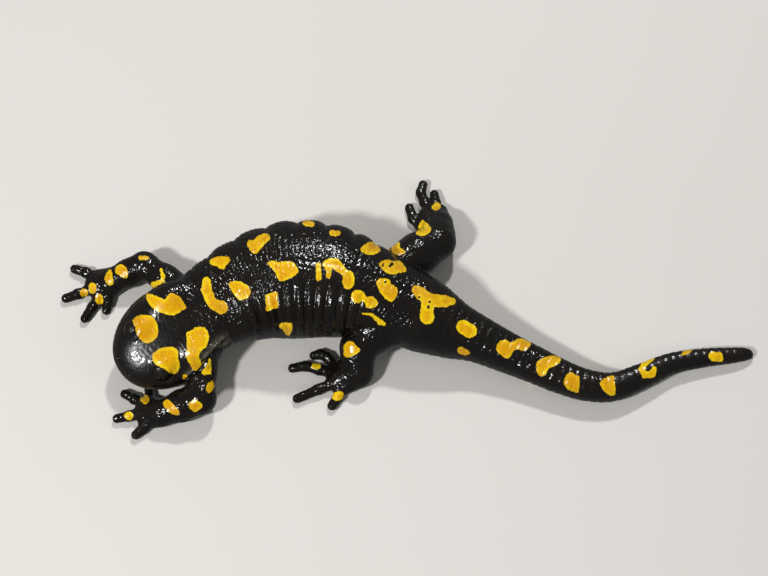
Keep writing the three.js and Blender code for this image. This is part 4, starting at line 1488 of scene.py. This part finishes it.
def make_eye(side):
    """An eyeball with its clear front standing out a little from the round of the ball."""
    centre, radius = eye_of(side)
    sphere = bmesh.new()
    bmesh.ops.create_icosphere(sphere, subdivisions=EYE_SUBDIVISIONS, radius=1.0)
    points = np.array([v.co[:] for v in sphere.verts])
    faces = np.array([[v.index for v in face.verts] for face in sphere.faces])
    sphere.free()
    back, out, up = GAZE
    forward = HEAD_BACK * back + HEAD_RIGHT * out * SIDES[side] + HEAD_UP * up
    forward /= np.linalg.norm(forward)
    angle = np.degrees(np.arccos(np.clip(points @ forward, -1, 1)))
    size = radius + CORNEA_RISE * smooth_step(CORNEA_ANGLE, 0, angle)
    depth, width = CORNEA_GROOVE
    size = size - depth * ridge(angle, CORNEA_ANGLE, width)
    eye = make_object(f"eyeball_{side}", centre - SHIFT + points * size[:, None], faces)
    keep_values(eye, "gaze", angle)
    eye.data.materials.append(eye_material())
    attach(eye, "root")
    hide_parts(f"eye_{side}")


# ---- the skin ----

FINE_TRUNK = 108.0  # the station up to which the upper side's mesh is twice as fine, as the head's is
FINE_LOWEST = -30.0  # the elevation down to which it is
SNOUT_REGION = (10.0, 24.0)  # middle, back from the tip, and radius, where new points are settled
CREASE_SHADE_DEPTHS = (0.03, 0.16)  # how far below the skin around a point lies, between which painted shade darkens the yellow from none to full
FOLD_HIGHLIGHT_BAND = (1.5, 1.4)  # the painted highlight band's distance from the jaw fold, and its width
# how strong the painted highlight along the upper lip is
LIP_HIGHLIGHT_STRENGTH = 0.8
FOLD_LINE = 0.7  # half the width of the black line that the jaw fold draws through the spots
FOLD_CUTS = 0.3  # how much of the fold is there where it does
RIBS = (22.0, 62.0, 10.0)  # elevations between which the left flank's ribs are smoother, and how softly
RIB_SMOOTHNESS = 0.55


def around(values, faces, passes=6):
    """Each point's value evened out over its neighbours."""
    share = np.bincount(faces.ravel(), minlength=len(values))
    for _ in range(passes):
        sums = values[faces].sum(1).repeat(3)
        values = np.bincount(faces.ravel(), sums, len(values)) / (3 * share)
    return values


def skin_mesh():
    """The skin's points and faces before its details, finer on the head and the upper side."""
    points, quads = surface_net(*skin_grid())
    points = settle(points)
    faces = cut_quads(points, quads)
    at = Places(points)
    upper = (at.station < FINE_TRUNK) & (at.elevation > FINE_LOWEST) & (at.on_body > 0.5)
    coarse = len(points)
    points, faces = refine(points, faces, at.on_head | upper)
    middle, radius = SNOUT_REGION
    fresh = np.arange(len(points)) >= coarse
    fresh &= distance_to(*points.T, head_point(middle, 0, 0)) < radius
    points[fresh] = settle(points[fresh], 1)
    return points, faces


def make_skin():
    """The one skin over every node of flesh, with the values that its material reads."""
    points, faces = skin_mesh()
    at = Places(points)
    height = detail_height(points, at)
    away, there, headward = fold_place(points)
    # painted highlight: a pale band on the head's side of the jaw fold's rim, and along the upper lip's
    # edge
    rim_highlight = np.maximum(there * headward * ridge(away, *FOLD_HIGHLIGHT_BAND), LIP_HIGHLIGHT_STRENGTH * mouth(at)[1])
    points = points + mesh_normals(points, faces) * height[:, None]
    skin = make_object("skin", points, faces)
    bpy.context.view_layer.update()
    at = Places(points)
    spots = np.minimum(photo_spots(points, skin), hidden_spots(points, at))
    spots = np.where(there > FOLD_CUTS, np.maximum(spots, FOLD_LINE - away), spots)
    rough = granular(points, at)
    ribs = ~at.right * window(at.elevation, *RIBS) * window(at.station, FIRST_GROOVE, LAST_GROOVE, 4)
    relief = rough * (1 - RIB_SMOOTHNESS * ribs) * (1 + NAPE_RELIEF * window(at.station, *NAPE))
    keep_values(skin, "spot", np.minimum(spots, SPOT_REACH))
    # painted shade for the yellow in creases, from how far each point lies below its neighbours
    keep_values(skin, "crease", smooth_step(*CREASE_SHADE_DEPTHS, around(height, faces) - height))
    keep_values(skin, "rim_highlight", rim_highlight)
    keep_values(skin, "rough", rough)
    keep_values(skin, "relief", relief)
    skin.data.materials.append(skin_material())
    return skin


skin = make_skin()
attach(skin, "root")
flesh = [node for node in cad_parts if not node.startswith("eye_")]
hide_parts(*flesh)
for eye_side in SIDES:
    make_eye(eye_side)

# ---- the stage ----

# Round lights: direction from the animal, distance, diameter, power, and whether gloss shows them.
LIGHTS = {
    "key": ((-0.53, -0.44, 0.73), 0.9, 0.09, 4.8, True),
    "back": ((0.1, 0.6, 0.79), 0.9, 0.07, 3.6, True),
    "side": ((0.8, -0.3, 0.5), 1.0, 0.5, 1.0, False),
}
WORLD_STRENGTH = 0.15
FLOOR_HALF = 3.0


def add_camera():
    """The camera at the photograph's place, with its lens."""
    data = bpy.data.cameras.new("camera")
    data.sensor_width = 36
    data.lens = FOCAL_PIXELS * data.sensor_width / IMAGE_WIDTH
    data.clip_start = 0.01
    camera = bpy.data.objects.new("camera", data)
    camera.location = (CAMERA_PLACE + SHIFT) * MM
    camera.rotation_euler = (math.pi / 2 - CAMERA_ELEVATION, 0, 0)
    bpy.context.scene.collection.objects.link(camera)
    bpy.context.scene.camera = camera


def add_light(name, direction, distance, size, power, glossy):
    """A round soft light that looks at the middle of the animal."""
    data = bpy.data.lights.new(name, "AREA")
    data.shape = "DISK"
    data.size = size
    data.energy = power
    light = bpy.data.objects.new(name, data)
    light.location = Vector(direction).normalized() * distance
    light.rotation_euler = Vector(direction).to_track_quat("Z", "Y").to_euler()
    light.visible_glossy = glossy
    bpy.context.scene.collection.objects.link(light)


def add_world(strength):
    """An even white room."""
    world = bpy.data.worlds.new("studio")
    world.use_nodes = True
    background = world.node_tree.nodes["Background"]
    background.inputs["Color"].default_value = (1, 1, 1, 1)
    background.inputs["Strength"].default_value = strength
    bpy.context.scene.world = world


def add_floor(half):
    corners = np.array([(-half, -half, 0), (half, -half, 0), (half, half, 0), (-half, half, 0)])
    floor = make_object("floor", corners / MM - SHIFT, np.array([[0, 1, 2, 3]]))
    floor.data.materials.append(floor_material())
    floor.visible_glossy = False  # the wet black skin shows the dim room, not a white floor


add_camera()
for light_name, light_row in LIGHTS.items():
    add_light(light_name, *light_row)
add_world(WORLD_STRENGTH)
add_floor(FLOOR_HALF)
bpy.context.scene.view_settings.view_transform = "Standard"
